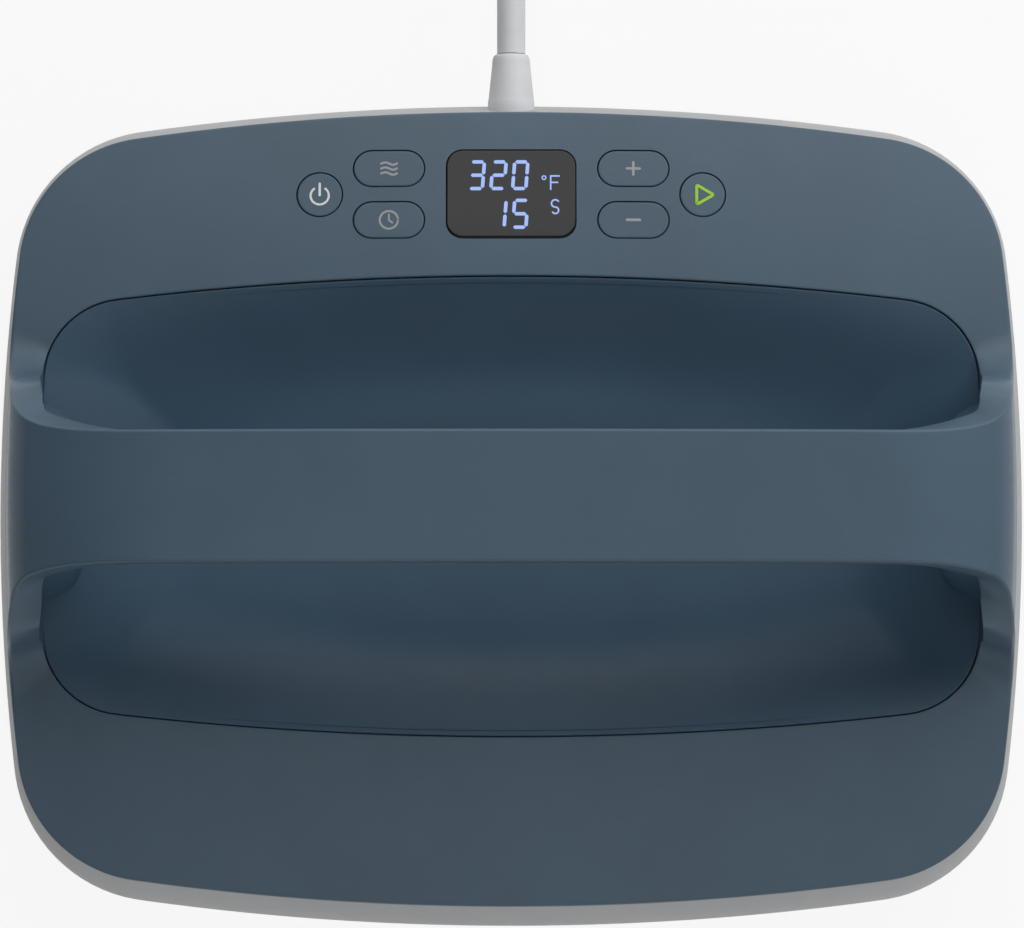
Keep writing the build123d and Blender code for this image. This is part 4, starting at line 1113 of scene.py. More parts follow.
    def foot_line(self, share: float, spine: Flat, side: int) -> Row:
        """The line from the spine over the foot's hollow to the inner edge."""
        edge = self.foot_point(share, 0.0, side)
        line = [*self.flank_line(spine, edge[1:]), edge]
        for s in shares(self.ring_rows)[1:]:
            line.append(self.foot_point(share, s, side))
        x, v, z = line[-1]
        dv, dz = self.foot(x, 1.0, side).inward(share)
        ease = smoothstep(share)
        dv, dz = lerp(dv, 0.0, ease), lerp(dz, -1.0, ease)
        flange = self.seam_depth + corner_flare(x, z, side) * (1 - ease)
        grow = lerp(flange, self.lip_depth, ease) / hypot(dv, dz)
        line.append((x, v + dv * grow, z + dz * grow))
        return line

    def deck_line(self, edge: Flat, inner: Flat) -> Row:
        """The line up the cover's outer wall, over the deck and down the recess's lip."""
        ex, ev = edge
        top = DECK.height(ex, ev)
        line: Row = []
        for s in shares(self.outer_rows)[:-1]:
            z = lerp(self.parting, top, s)
            line.append((ex - self.lean(ev, z), ev, z))
        ex -= self.lean(ev, top)
        for s in shares(self.ring_rows):
            x, v = lerp(ex, inner[0], s), lerp(ev, inner[1], s)
            line.append((x, v, DECK.height(x, v)))
        x, v, z = line[-1]
        line.append((x, v, z - self.lip_depth))
        return line

    def softened(self, line: Row, lip_round: float) -> Row:
        """A line whose edge and lip are rounded."""
        at = self.outer_rows + self.ring_rows
        line = rounded(line, at, lip_round, self.round_steps, 0.5)
        return rounded(line, self.outer_rows, self.edge_round, self.round_steps, 0.5)

    def spine(self, side: int) -> list[Flat]:
        """The spine beside the foot as v and z: down the flank, then along the parting."""
        centre = side * HANDLE_CENTRE_Y
        finish = self.foot_point(1.0, 0.0, side)[1]
        down = [(centre, lerp(self.foot_top, self.parting, s)) for s in shares(self.spine_steps)]
        steps = self.foot_steps - self.spine_steps
        return down + [(lerp(centre, finish, s), self.parting) for s in shares(steps)[1:]]

    def quarter(self, side: int) -> list[Row]:
        """All the lines of one quarter, from the crown's middle to the middle of the deck's end."""
        lines: list[Row] = []
        for s in shares(self.crown_steps):
            lines.append(self.softened(self.handle_line("crown", s, side), self.seam_round))
        for s in shares(self.corner_steps)[1:]:
            lines.append(self.softened(self.handle_line("corner", s, side), self.seam_round))
        for s in shares(self.leg_steps)[1:]:
            lines.append(self.softened(self.leg_line(s, side), self.seam_round))
        for s, spine in list(zip(shares(self.foot_steps), self.spine(side)))[1:]:
            lip = lerp(self.seam_round, self.lip_round, smoothstep(s))
            lines.append(self.softened(self.foot_line(s, spine, side), lip))
        outer = COVER.trace(self.foot_point(1.0, 0.0, side)[1])
        inner = RECESS.trace(self.foot_point(1.0, 1.0, side)[1])
        for run, steps in ((0, self.strip_steps), (1, self.deck_steps)):
            pairs = zip(resample(outer[run], steps), resample(inner[run], steps))
            for edge, rim in list(pairs)[1:]:
                lines.append(self.softened(self.deck_line(edge, rim), self.lip_round))
        return lines

    def panel_block(self, lines: list[Row]) -> tuple[int, int, int]:
        """The lines and rows that the control panel's patch takes out of the rear deck.

        Returns:
            The first line, the first row and the last row.
        """
        row = self.outer_rows + self.panel_row
        first = next(
            i
            for i, line in enumerate(lines)
            if i > len(lines) - self.deck_steps and line[row][0] < PANEL.patch_x
        )
        low = self.outer_rows + self.round_steps + 3
        high = low + self.ring_rows - 2
        return first, low, high

    def make(self) -> None:
        """The cover as one closed shell."""
        skin = Skin()
        for side in (1, -1):
            lines = self.quarter(side)
            first, low, high = self.panel_block(lines)
            for mirror in (1, -1):
                rows = [[(mirror * x, side * v, z) for x, v, z in line] for line in lines]
                skin.grid(
                    rows,
                    flip=(mirror * side > 0),
                    skip=lambda i, j: side > 0 and i >= first and low <= j < high,
                )
            if side > 0:
                self.add_panel(skin, lines, (first, low, high))
        skin.thicken(self.wall)
        cover = skin.build("cover_shell", Finish.COVER)
        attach(cover, "root")
        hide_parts("top_cover")

    def add_panel(self, skin: Skin, lines: list[Row], block: tuple[int, int, int]) -> None:
        """Fills the panel's block with a patch that has the holes of the keys and the window."""
        first, low, high = block
        right = lines[first:]
        rim = [line[low] for line in right]
        bottom = [line[high] for line in right]
        side_down = [right[0][j] for j in range(low + 1, high)]
        half = rim[::-1] + side_down + bottom
        ring = half + [(-x, y, z) for x, y, z in half[-2:0:-1]]
        holes = [PANEL.on_deck(loop) for loop in PANEL.holes()]
        add_patch(skin, ring, holes, 6.0, lambda x, y: DECK.height(x, y))


FOOT_SEARCH = (30.0, 90.0)
BISECTIONS = 50


@lru_cache(maxsize=None)
def foot_curve(x: float, side: int, radius: float) -> Foot:
    """Solves the foot's curve at one x: a circle that touches the leg's face and the deck."""

    def wall(z: float) -> float:
        """The leg's face at a height."""
        return side * HANDLE_CENTRE_Y + outer_half_depth(x, z, side, OUTER_ARCH.flank(z) - x)

    def miss(v: float) -> tuple[float, float, float, float]:
        """How far the circle on the deck at v lies from the leg, with its centre and slope."""
        z = DECK.height(x, v)
        tilt = v / DECK.radius_y
        length = hypot(1.0, tilt)
        cv, cz = v + radius * tilt / length, z + radius / length
        slope = (wall(cz + 1) - wall(cz - 1)) / 2
        return (cv - wall(cz)) / hypot(1.0, slope) - radius, cv, cz, slope

    low, high = FOOT_SEARCH
    for _ in range(BISECTIONS):
        middle = (low + high) / 2
        if miss(middle)[0] > 0:
            high = middle
        else:
            low = middle
    _, cv, cz, slope = miss(middle)
    tilt = middle / DECK.radius_y
    start = atan2(slope, -1.0)
    finish = atan2(-1.0, -tilt)
    return Foot(cv, cz, start % (2 * pi), finish % (2 * pi), radius)


HOLE_MARGIN = 0.45
EDGE_MARGIN = 0.4


def inside_ring(x: float, y: float, ring: Sequence[Flat]) -> bool:
    """Whether a point lies within a closed plan outline."""
    within = False
    for (ax, ay), (bx, by) in zip(ring, list(ring[1:]) + [ring[0]]):
        if (ay > y) != (by > y) and x < (bx - ax) * (y - ay) / (by - ay) + ax:
            within = not within
    return within


def ring_distance(x: float, y: float, ring: Sequence[Flat]) -> float:
    """The distance to a closed outline's nearest point."""
    return min(hypot(x - a, y - b) for a, b in ring)


def add_patch(
    skin: Skin,
    ring: Sequence[Point],
    holes: Sequence[Sequence[Point]],
    step: float,
    height: Callable[[float, float], float],
) -> None:
    """Fills a ring with triangles round its holes.

    Args:
        skin: takes the faces.
        ring: the patch's own edge.
        holes: the edges of the holes.
        step: how far apart the points between them lie.
        height: the surface's height at x and y.
    """
    outline, *loops = [[tuple(p[:2]) for p in loop] for loop in (ring, *holes)]
    places: list[Point] = []
    edges: list[tuple[int, int]] = []
    for loop in (ring, *holes):
        start = len(places)
        places += [tuple(p) for p in loop]
        edges += [(start + i, start + (i + 1) % len(loop)) for i in range(len(loop))]
    points = [Vector(p[:2]) for p in places]
    xs = [p[0] for p in outline]
    ys = [p[1] for p in outline]
    columns = int((max(xs) - min(xs)) / step)
    rows = int((max(ys) - min(ys)) / step)
    for i in range(columns + 1):
        for j in range(rows + 1):
            x = min(xs) + step * (i + 0.5 * (j % 2))
            y = min(ys) + step * j
            clear = all(
                not inside_ring(x, y, loop) and ring_distance(x, y, loop) > step * HOLE_MARGIN
                for loop in loops
            )
            if clear and inside_ring(x, y, outline) and ring_distance(x, y, outline) > step * EDGE_MARGIN:
                points.append(Vector((x, y)))
                places.append((x, y, height(x, y)))
    result = delaunay_2d_cdt(points, edges, [], 0, 1e-5)
    indices = []
    for place, origins in zip(result[0], result[3]):
        if origins:
            indices.append(skin.point(places[origins[0]]))
        else:
            indices.append(skin.point((place[0], place[1], height(place[0], place[1]))))
    for face in result[2]:
        x = sum(result[0][i][0] for i in face) / len(face)
        y = sum(result[0][i][1] for i in face) / len(face)
        if inside_ring(x, y, outline) and not any(inside_ring(x, y, loop) for loop in loops):
            skin.face([indices[i] for i in face])


# The control panel


class Icon(Enum):
    """What is printed on a key."""

    POWER = "power"
    WAVES = "waves"
    CLOCK = "clock"
    PLUS = "plus"
    MINUS = "minus"
    START = "start"


@dataclass(frozen=True)
class Key:
    """One key: where it lies on the panel, its plan and its icon."""

    name: str
    x: float
    y: float
    icon: Icon
    radius: float = 6.05
    reach: float = 5.55

    def outline(self, grow: float, steps: int = 14) -> list[Flat]:
        """The key's plan outline, grown, anticlockwise."""
        r = self.radius + grow
        if self.reach == 0:
            return [(self.x + r * nx, self.y + r * ny) for nx, ny in unit_circle(48)]
        loop: list[Flat] = []
        for centre, start in ((self.reach, -pi / 2), (-self.reach, pi / 2)):
            for s in shares(steps):
                angle = start + pi * s
                loop.append((self.x + centre + r * cos(angle), self.y + r * sin(angle)))
        return loop


@dataclass(frozen=True)
class Window:
    """The display's window."""

    half_x: float = 21.2
    half_y: float = 15.0
    corner: float = 5.3

    def outline(self, grow: float, steps: int = 10) -> list[Flat]:
        """The window's plan outline, grown, anticlockwise."""
        sizes = (self.half_x + grow, self.half_y + grow, self.corner + grow)
        return [(x, y) for x, y, _, _ in soft_rectangle(*sizes, steps)]


@dataclass(frozen=True)
class Panel:
    """The control panel's own frame, square to the rear deck at the middle of the keys."""

    y: float = 103.2
    patch_x: float = 84.0
    key_gap: float = 0.4
    window_gap: float = 0.3

    @cached_property
    def slope(self) -> float:
        """The angle by which the panel leans back."""
        return atan2(self.y, DECK.radius_y)

    def keys(self) -> list[Key]:
        """The six keys."""
        pill_x, pill_y, round_x = 40.2, 8.8, 63.0
        return [
            Key("temperature", -pill_x, pill_y, Icon.WAVES),
            Key("timer", -pill_x, -pill_y, Icon.CLOCK),
            Key("plus", pill_x, pill_y, Icon.PLUS),
            Key("minus", pill_x, -pill_y, Icon.MINUS),
            Key("power", -round_x, 0.0, Icon.POWER, 7.35, 0.0),
            Key("start", round_x, 0.0, Icon.START, 7.35, 0.0),
        ]

    def holes(self) -> list[list[Flat]]:
        """The edges of all the openings."""
        return [key.outline(self.key_gap) for key in self.keys()] + [
            Window().outline(self.window_gap)
        ]

    def point(self, x: float, y: float, lift: float) -> Point:
        """The place of a point of the panel, lifted from the deck's surface."""
        high = lift - x * x / (2 * DECK.radius_x) - y * y / (2 * DECK.radius_y)
        s, c = sin(self.slope), cos(self.slope)
        return (x, self.y + y * c + high * s, DECK.height(0, self.y) - y * s + high * c)

    def on_deck(self, loop: Sequence[Flat]) -> list[Point]:
        """A loop of the panel laid on the deck."""
        places = [self.point(x, y, 0.0) for x, y in loop]
        return [(x, y, DECK.height(x, y)) for x, y, _ in places]

    def rings(self, outline: Callable[[float], list[Flat]], profile: Sequence[Flat]) -> list[Row]:
        """A piece's rings, from its outline and how far in and how high each ring lies."""
        return [[self.point(x, y, lift) for x, y in outline(-inset)] for inset, lift in profile]


PANEL = Panel()


@dataclass
class KeyCaps:
    """The key caps, with softened rims and printed icons."""

    drop: float = 0.1
    skirt: float = 5.0
    rim: float = 0.35
    hold: float = 0.4
    top_insets: Flat = (2.5, 4.5)
    print_lift: float = 0.03
    print_depth: float = 0.1

    def cap(self, key: Key) -> None:
        """One cap as a closed mesh."""
        skin = Skin()
        profile = [(0.0, -self.skirt), (0.0, -self.drop - self.rim - self.hold)]
        profile += [(inset, -self.drop - down) for inset, down in quarter_round(self.rim, 5)]
        profile += [(inset, -self.drop) for inset in (self.rim + self.hold, *self.top_insets)]
        rows = PANEL.rings(key.outline, profile)
        skin.grid(rows, closed=True)
        if key.reach:
            skin.strip([skin.point(p) for p in rows[-1]])
        else:
            skin.fan(rows[-1], PANEL.point(key.x, key.y, -self.drop))
        skin.lid(rows[0])
        cap = skin.build(f"{key.name}_cap", Finish.KEY)
        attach(cap, f"{key.name}_key")
        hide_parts(f"{key.name}_button")

    def icon(self, key: Key) -> None:
        """The icon on a cap, as a thin raised print."""
        inks = {Icon.POWER: Finish.WHITE_INK, Icon.START: Finish.LIME_INK}
        skin = Skin()
        for stroke, width in icon_strokes(key.icon):
            line = [(key.x + x, key.y + y) for x, y in stroke]
            add_stroke(skin, line, width, -self.drop + self.print_lift, self.print_depth)
        mark = skin.build(f"{key.name}_mark", inks.get(key.icon, Finish.GREY_INK), 30)
        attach(mark, f"{key.name}_key")

    def make(self) -> None:
        """All the caps and icons."""
        for key in PANEL.keys():
            self.cap(key)
            self.icon(key)


def circle(cx: float, cy: float, radius: float, start: float, finish: float) -> list[Flat]:
    """Points along an arc between two angles in degrees."""
    steps = max(6, int(abs(finish - start) / 8))
    turns = [radians(lerp(start, finish, s)) for s in shares(steps)]
    return [(cx + radius * cos(a), cy + radius * sin(a)) for a in turns]


def icon_strokes(icon: Icon) -> list[tuple[list[Flat], float]]:
    """The strokes of an icon about its own middle, each with its width."""
    if icon is Icon.POWER:
        return [(circle(0.0, -0.35, 3.0, 128, 412), 0.72), ([(0.0, -0.2), (0.0, 3.75)], 0.8)]
    if icon is Icon.WAVES:
        wave = [(lerp(-2.6, 2.6, s), 0.5 * sin(2 * pi * s) * (0.6 + 0.4 * s)) for s in shares(20)]
        return [([(x, row + y) for x, y in wave], 0.72) for row in (-1.7, 0.0, 1.7)]
    if icon is Icon.CLOCK:
        hands = [(0.0, 1.85), (0.0, -0.1), (1.15, -0.95)]
        return [(circle(0.0, 0.0, 3.0, 0, 360), 0.7), (hands, 0.6)]
    if icon is Icon.PLUS:
        return [([(-2.1, 0.0), (2.1, 0.0)], 0.82), ([(0.0, -2.1), (0.0, 2.1)], 0.82)]
    if icon is Icon.MINUS:
        return [([(-2.1, 0.0), (2.1, 0.0)], 0.92)]
    turn = 0.35
    corners = circle(-1.6, -2.75, turn, 180, 299) + circle(2.95, 0.0, turn, -61, 61)
    corners += circle(-1.6, 2.75, turn, 61, 180)
    return [(corners + corners[:2], 0.95)]


def add_stroke(skin: Skin, line: Sequence[Flat], width: float, lift: float, depth: float) -> None:
    """Adds a round-ended stroke of the panel as a thin closed body.

    Args:
        skin: takes the faces.
        line: the stroke's middle line on the panel.
        width: how wide it is.
        lift: how far its top lies above the deck's surface.
        depth: how deep its sides reach below its top.
    """
    ring = stroke_outline(line, width / 2)
    levels = [[PANEL.point(x, y, z) for x, y in ring] for z in (lift, lift - depth)]
    skin.grid(levels, closed=True)
    for level in levels:
        skin.strip([skin.point(p) for p in level])


def stroke_outline(line: Sequence[Flat], half: float) -> list[Flat]:
    """The outline of a stroke: its right side forwards, then its left side back."""
    right: list[Flat] = []
    left: list[Flat] = []
    last = len(line) - 1
    for index, (x, y) in enumerate(line):
        ax, ay = line[max(0, index - 1)]
        bx, by = line[min(last, index + 1)]
        if index in (0, last):
            dx, dy = bx - ax, by - ay
            size = hypot(dx, dy)
            dx, dy = dx / size, dy / size
            sign = -1 if index == 0 else 1
            turns = [radians(t) for t in ((85, 60, 30, 0) if index == 0 else (0, 30, 60, 85))]
            for turn in turns:
                along, across = sign * half * sin(turn), half * cos(turn)
                right.append((x + dx * along + dy * across, y + dy * along - dx * across))
                left.append((x + dx * along - dy * across, y + dy * along + dx * across))
            continue
        before = Vector((x - ax, y - ay)).normalized()
        after = Vector((bx - x, by - y)).normalized()
        tangent = (before + after).normalized()
        stretch = min(2.2, 1 / max(0.3, tangent.dot(after)))
        nx, ny = tangent.y * half * stretch, -tangent.x * half * stretch
        right.append((x + nx, y + ny))
        left.append((x - nx, y - ny))
    return right + left[::-1]


@dataclass
class Display:
    """The smoked window and the lit figures that show through it."""

    drop: float = 0.12
    thickness: float = 2.2
    rim: float = 0.3
    top_insets: Point = (0.8, 2.5, 5.0)
    figure_lift: float = 0.05
    digit_height: float = 10.3
    digit_width: float = 5.5
    pitch: float = 7.15
    stroke: float = 1.15
    tip_share: float = 0.42
    gap: float = 0.18
    depth: float = 0.1
    slant: float = 0.075
    upper_row: Flat = (-14.4, 1.2)
    lower_row: Flat = (-7.25, -12.0)

    SEGMENTS = {
        "0": "abcdef",
        "1": "bc",
        "2": "abged",
        "3": "abgcd",
        "5": "afgcd",
    }

    def window(self) -> None:
        """The window as a closed plate with a soft rim."""
        skin = Skin()
        profile = [(0.0, -self.thickness)]
        profile += [(inset, -self.drop - down) for inset, down in quarter_round(self.rim, 4)]
        profile += [(inset, -self.drop) for inset in self.top_insets]
        rows = PANEL.rings(Window().outline, profile)
        skin.grid(rows, closed=True)
        skin.fan(rows[-1], PANEL.point(0, 0, -self.drop))
        skin.lid(rows[0])
        lens = skin.build("display_glass", Finish.WINDOW)
        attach(lens, "root")
        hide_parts("display_lens")

    def segment(self, skin: Skin, ax: float, ay: float, bx: float, by: float) -> None:
        """One bar of a digit, a long hexagon between two points."""
        length = hypot(bx - ax, by - ay)
        dx, dy = (bx - ax) / length, (by - ay) / length
        half, tip, gap = self.stroke / 2, self.stroke * self.tip_share, self.gap
        marks = [
            (gap, 0.0),
            (gap + tip, half),
            (length - gap - tip, half),
            (length - gap, 0.0),
            (length - gap - tip, -half),
            (gap + tip, -half),
        ]
        loop = [(ax + dx * u - dy * w, ay + dy * u + dx * w) for u, w in marks]
        lifts = (self.figure_lift - self.drop, -self.drop - self.depth)
        skin.tube([[PANEL.point(x, y, z) for x, y in loop] for z in lifts])

    def digit(self, skin: Skin, figure: str, x: float, y: float) -> None:
        """One figure whose lower left corner is at x and y."""
        w = self.digit_width - self.stroke
        h = self.digit_height - self.stroke
        ends = {
            "a": ((0, h), (w, h)),
            "b": ((w, h), (w, h / 2)),
            "c": ((w, h / 2), (w, 0)),
            "d": ((0, 0), (w, 0)),
            "e": ((0, h / 2), (0, 0)),
            "f": ((0, h), (0, h / 2)),
            "g": ((0, h / 2), (w, h / 2)),
        }
        off = self.stroke / 2
        for name in self.SEGMENTS[figure]:
            (ax, ay), (bx, by) = ends[name]
            self.segment(
                skin,
                x + off + ax + self.slant * ay,
                y + off + ay,
                x + off + bx + self.slant * by,
                y + off + by,
            )

    def figures(self) -> None:
        """A temperature with its degree ring and a time, as plain numbers."""
        skin = Skin()
        for figures, (x, y) in (("320", self.upper_row), ("15", self.lower_row)):
            for index, figure in enumerate(figures):
                self.digit(skin, figure, x + self.pitch * index, y)
        lift = -self.drop + self.figure_lift
        strokes = [
            (circle(10.8, 5.5, 0.62, 0, 360), 0.4),
            ([(13.0, 1.5), (13.0, 6.1), (15.8, 6.1)], 0.5),
            ([(13.0, 3.9), (15.3, 3.9)], 0.5),
            (circle(14.5, -3.3, 1.25, 35, 270) + circle(14.5, -5.65, 1.1, 90, -145), 0.5),
        ]
        for line, width in strokes:
            add_stroke(skin, line, width, lift, self.depth)
        lit = skin.build("lit_figures", Finish.DIGIT, 30)
        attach(lit, "root")


# Handle underside, liner, base and plate


@dataclass
class HandleUnderside:
    """The inner half of the handle, a bar that follows the arch down to the bowl."""

    step: float = 0.9
    round_side: float = 7.5
    round_crown: float = 7.5
    round_leg: float = 12.5
    foot_gap: float = 0.3
    foot_z: float = 43.2
    crown_steps: int = 40
    corner_steps: int = 28
    leg_steps: int = 16
    round_steps: int = 8
    landing_steps: int = 24

    def section(self, top: Flat, low: Flat, drop: float, side: int) -> Row:
        """Half of the bar's section, from a point of the seam to one of the inner face.

        Args:
            top: the seam's x and z.
            low: the inner face's x and z.
            drop: how far the rounded inner edge reaches towards the seam.
            side: the rear half (1) or the front half (-1).

        Returns:
            Points from the middle of the seam, over the side face, to the middle inside.
        """
        deep = hypot(top[0] - low[0], top[1] - low[1])
        straight = (deep - drop) / deep
        marks = [(0.0, 0.5, 0.0), (0.04 * straight, 1.0, 0.0), (0.5 * straight, 1.0, 0.0)]
        for s in shares(self.round_steps):
            angle = pi / 2 * s
            inset = self.round_side * (1 - cos(angle))
            marks.append((lerp(straight, 1.0, sin(angle)), 1.0, inset))
        marks.append((1.0, 0.5, 0.0))
        marks.append((1.0, 0.0, 0.0))
        result = [(top[0], 0.0, top[1])]
        for share, wide, inset in marks:
            x, z = mix(top, low, share)
            half = half_depth(x, z, side, SPLIT_DEPTH)
            result.append((x, wide * (half - self.step) - inset, z))
        return result

    def leg(self, share: float, side: int) -> Row:
        """The section a share of the way down the leg."""
        high, low = SEAM_ARCH.on_corner(1.0)[1], INNER_ARCH.on_corner(1.0)[1]
        top_z, low_z = lerp(high, self.foot_z, share), lerp(low, self.foot_z, share)
        top = (SEAM_ARCH.flank(top_z), top_z)
        return self.section(top, (INNER_ARCH.flank(low_z), low_z), self.round_leg, side)

    def landing(self, index: int, side: int) -> float:
        """How far down the leg one line of its section meets the bowl."""
        low, high = 0.0, 1.0
        for _ in range(self.landing_steps):
            middle = (low + high) / 2
            x, v, z = self.leg(middle, side)[index]
            if z > bowl_height(x, v) + self.foot_gap:
                low = middle
            else:
                high = middle
        return low

    def half(self, side: int) -> list[Row]:
        """The sections of the rear or front half, from the crown's middle down to the bowl."""
        lines: list[Row] = []
        for s in shares(self.crown_steps):
            top, low = SEAM_ARCH.on_crown(s), INNER_ARCH.on_crown(s)
            lines.append(self.section(top, low, self.round_crown, side))
        for s in shares(self.corner_steps)[1:]:
            top, low = SEAM_ARCH.on_corner(s), INNER_ARCH.on_corner(s)
            drop = lerp(self.round_crown, self.round_leg, smoothstep(s))
            lines.append(self.section(top, low, drop, side))
        reach = [self.landing(index, side) for index in range(len(lines[0]))]
        for s in shares(self.leg_steps)[1:]:
            lines.append([self.leg(s * part, side)[i] for i, part in enumerate(reach)])
        return lines

    def make(self) -> None:
        """The underside as one closed mesh."""
        halves = {side: self.half(side) for side in (1, -1)}
        skin = Skin()
        for mirror in (1, -1):
            loop: Row = []
            for side, lines in halves.items():
                rows = [
                    [(mirror * x, HANDLE_CENTRE_Y + side * v, z) for x, v, z in line]
                    for line in lines
                ]
                skin.grid(rows, flip=(mirror * side < 0))
                loop += rows[-1][:: side]
            skin.lid(loop)
        bar = skin.build("handle_inner", Finish.LINER, 34)
        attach(bar, "root")
        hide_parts("handle_underside")


@dataclass
class RecessLiner:
    """The dished tray under the handle."""

    gap: float = 0.3
    rim: float = 0.4
    skirt: float = 7.0
    wall: float = 2.0
    spine_x: float = 70.0
    spine_share: float = 0.52
    crowding: float = 1.15
    steps: int = 60
    rings: int = 34

    def make(self) -> None:
        """The liner as a closed shell."""
        skin = Skin()
        outline = RECESS.inset(self.gap)
        ring = outline.ring(self.steps)
        tray: list[Row] = []
        for s in shares(self.rings):
            inward = s**self.crowding
            row = []
            for x, y in ring:
                goal = (max(-self.spine_x, min(self.spine_x, x * self.spine_share)), 0.0)
                px, py = mix((x, y), goal, inward)
                row.append((px, py, bowl_height(px, py)))
            tray.append(row)
        rows: list[Row] = []
        for column in transposed(tray):
            x, y, z = column[0]
            rows.append(rounded([(x, y, z - self.skirt), *column], 1, self.rim, 5, 0.3))
        skin.grid(transposed(rows), closed=True)
        skin.thicken(self.wall)
        tray_piece = skin.build("recess_tray", Finish.LINER)
        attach(tray_piece, "root")
        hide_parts("recess_liner")


@dataclass
class BaseHousing:
    """The pale skirt under the cover, with its bottom flange and screw wells."""

    bottom: float = 4.0
    belly: float = 12.0
    tuck: float = 6.0
    parting: float = 44.9
    wall: float = 2.4
    opening_gap: float = 1.8
    screw_well: float = 18.0
    well_radius: float = 3.1
    corner_well_radius: float = 2.0
    side_well_x: float = 150.0
    side_well_y: float = 50.0
    join: float = 45.0
    tuck_power: float = 2.2
    side_power: float = 1.7
    level_power: float = 1.25
    top_wall: float = 2.6
    top_depth: float = 6.0
    top_round: float = 0.5
    flange_share: float = 0.9
    flange_round: float = 0.9
    steps: int = 72
    levels: int = 26

    def outline(self, z: float) -> PlanShape:
        """The skirt's outline at a height."""
        if z < self.belly:
            share = (self.belly - z) / (self.belly - self.bottom)
            return BASE.inset(self.tuck * share**self.tuck_power)
        share = ((z - self.belly) / (self.join - self.belly)) ** self.side_power
        return PlanShape(
            lerp(BASE.half_x, COVER.half_x, share),
            lerp(BASE.half_y, COVER.half_y, share),
            lerp(BASE.corner, COVER.corner, share),
        )

    def wells(self) -> list[Flat]:
        """Where the cover's screws enter from below."""
        inner, outer = BASE.inset(self.tuck), PLATE.inset(-self.opening_gap)
        side_x = (inner.x_at(self.side_well_y) + outer.x_at(self.side_well_y)) / 2
        corner = mix(inner.on_corner(pi / 4), outer.on_corner(pi / 4), 0.5)
        points = [(side_x, self.side_well_y), corner]
        return [(sx * x, sy * y) for x, y in points for sx in (1, -1) for sy in (1, -1)]

    def make(self) -> None:
        """The base as a closed shell."""
        skin = Skin()
        rows: list[Row] = []
        for s in shares(self.levels):
            z = self.bottom + (self.parting - self.bottom) * s**self.level_power
            rows.append([(x, y, z) for x, y in self.outline(z).ring(self.steps)])
        top = COVER.inset(self.top_wall).ring(self.steps)
        rows.append([(x, y, self.parting) for x, y in top])
        rows.append([(x, y, self.parting - self.top_depth) for x, y in top])
        inner = PLATE.inset(-self.opening_gap).ring(self.steps)
        lip = [(x, y, self.bottom) for x, y in inner]
        lines: list[Row] = []
        for start, column in zip(lip, transposed(rows)):
            line = [start, mix(start, column[0], self.flange_share), *column]
            line = rounded(line, len(line) - 3, self.top_round, 4, 0.3)
            lines.append(rounded(line, 2, self.flange_round, 4, 0.3))
        columns = transposed(lines)
        skin.grid(columns, closed=True, skip=lambda i, j: i == 0)
        self.add_flange(skin, columns[1], lip)
        self.add_wells(skin)
        skin.thicken(self.wall)
        housing = skin.build("base_skirt", Finish.HOUSING)
        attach(housing, "root")
        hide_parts("base_housing")

    def well_size(self, x: float) -> float:
        """A well's radius, which is smaller in the corners, where the flange is narrow."""
        return self.well_radius if abs(x) > self.side_well_x else self.corner_well_radius

    def well_loop(self, x: float, y: float, radius: float, z: float) -> list[Point]:
        """A ring of a screw well."""
        return [(x + radius * nx, y + radius * ny, z) for nx, ny in unit_circle(24)]

    def add_flange(self, skin: Skin, outer: Row, lip: Row) -> None:
        """The flat flange round the plate, with the openings of the wells."""
        wells = [self.well_loop(x, y, self.well_size(x), self.bottom) for x, y in self.wells()]
        before = len(skin.faces)
        add_patch(skin, outer, [lip] + wells, 5.0, lambda x, y: self.bottom)
        for index in range(before, len(skin.faces)):
            skin.faces[index] = self.facing_down(skin, skin.faces[index])

    def facing_down(self, skin: Skin, face: tuple[int, ...]) -> tuple[int, ...]:
        """The face, turned so that it looks down."""
        a, b, c = (Vector(skin.points[i]) for i in face[:3])
        return face[::-1] if (b - a).cross(c - a).z > 0 else face

    def add_wells(self, skin: Skin) -> None:
        """The screw wells' walls and ends."""
        for x, y in self.wells():
            low = self.well_loop(x, y, self.well_size(x), self.bottom)
            high = self.well_loop(x, y, self.well_size(x), self.bottom + self.screw_well)
            skin.grid([low, high], closed=True, flip=True)
            skin.lid(high[::-1])


@dataclass
class HeatPlate:
    """The coated plate, with its softened face edge."""

    edge_round: float = 1.2
    bevel: float = 0.6
    thickness: float = 10.0
    steps: int = 64

    def make(self) -> None:
        """The plate as a closed mesh."""
        skin = Skin()
        profile = [(2 * self.edge_round, 0.0), (self.edge_round, 0.0)]
        profile += [(down, inset) for inset, down in quarter_round(self.edge_round, 6)[1:]]
        profile += [(0.0, self.thickness - self.bevel), (self.bevel, self.thickness)]
        skin.tube([[(x, y, z) for x, y in PLATE.inset(inset).ring(self.steps)] for inset, z in profile])
        plate = skin.build("press_plate", Finish.PLATE)
        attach(plate, "root")
        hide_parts("heat_plate")


# Cord, boot and plug


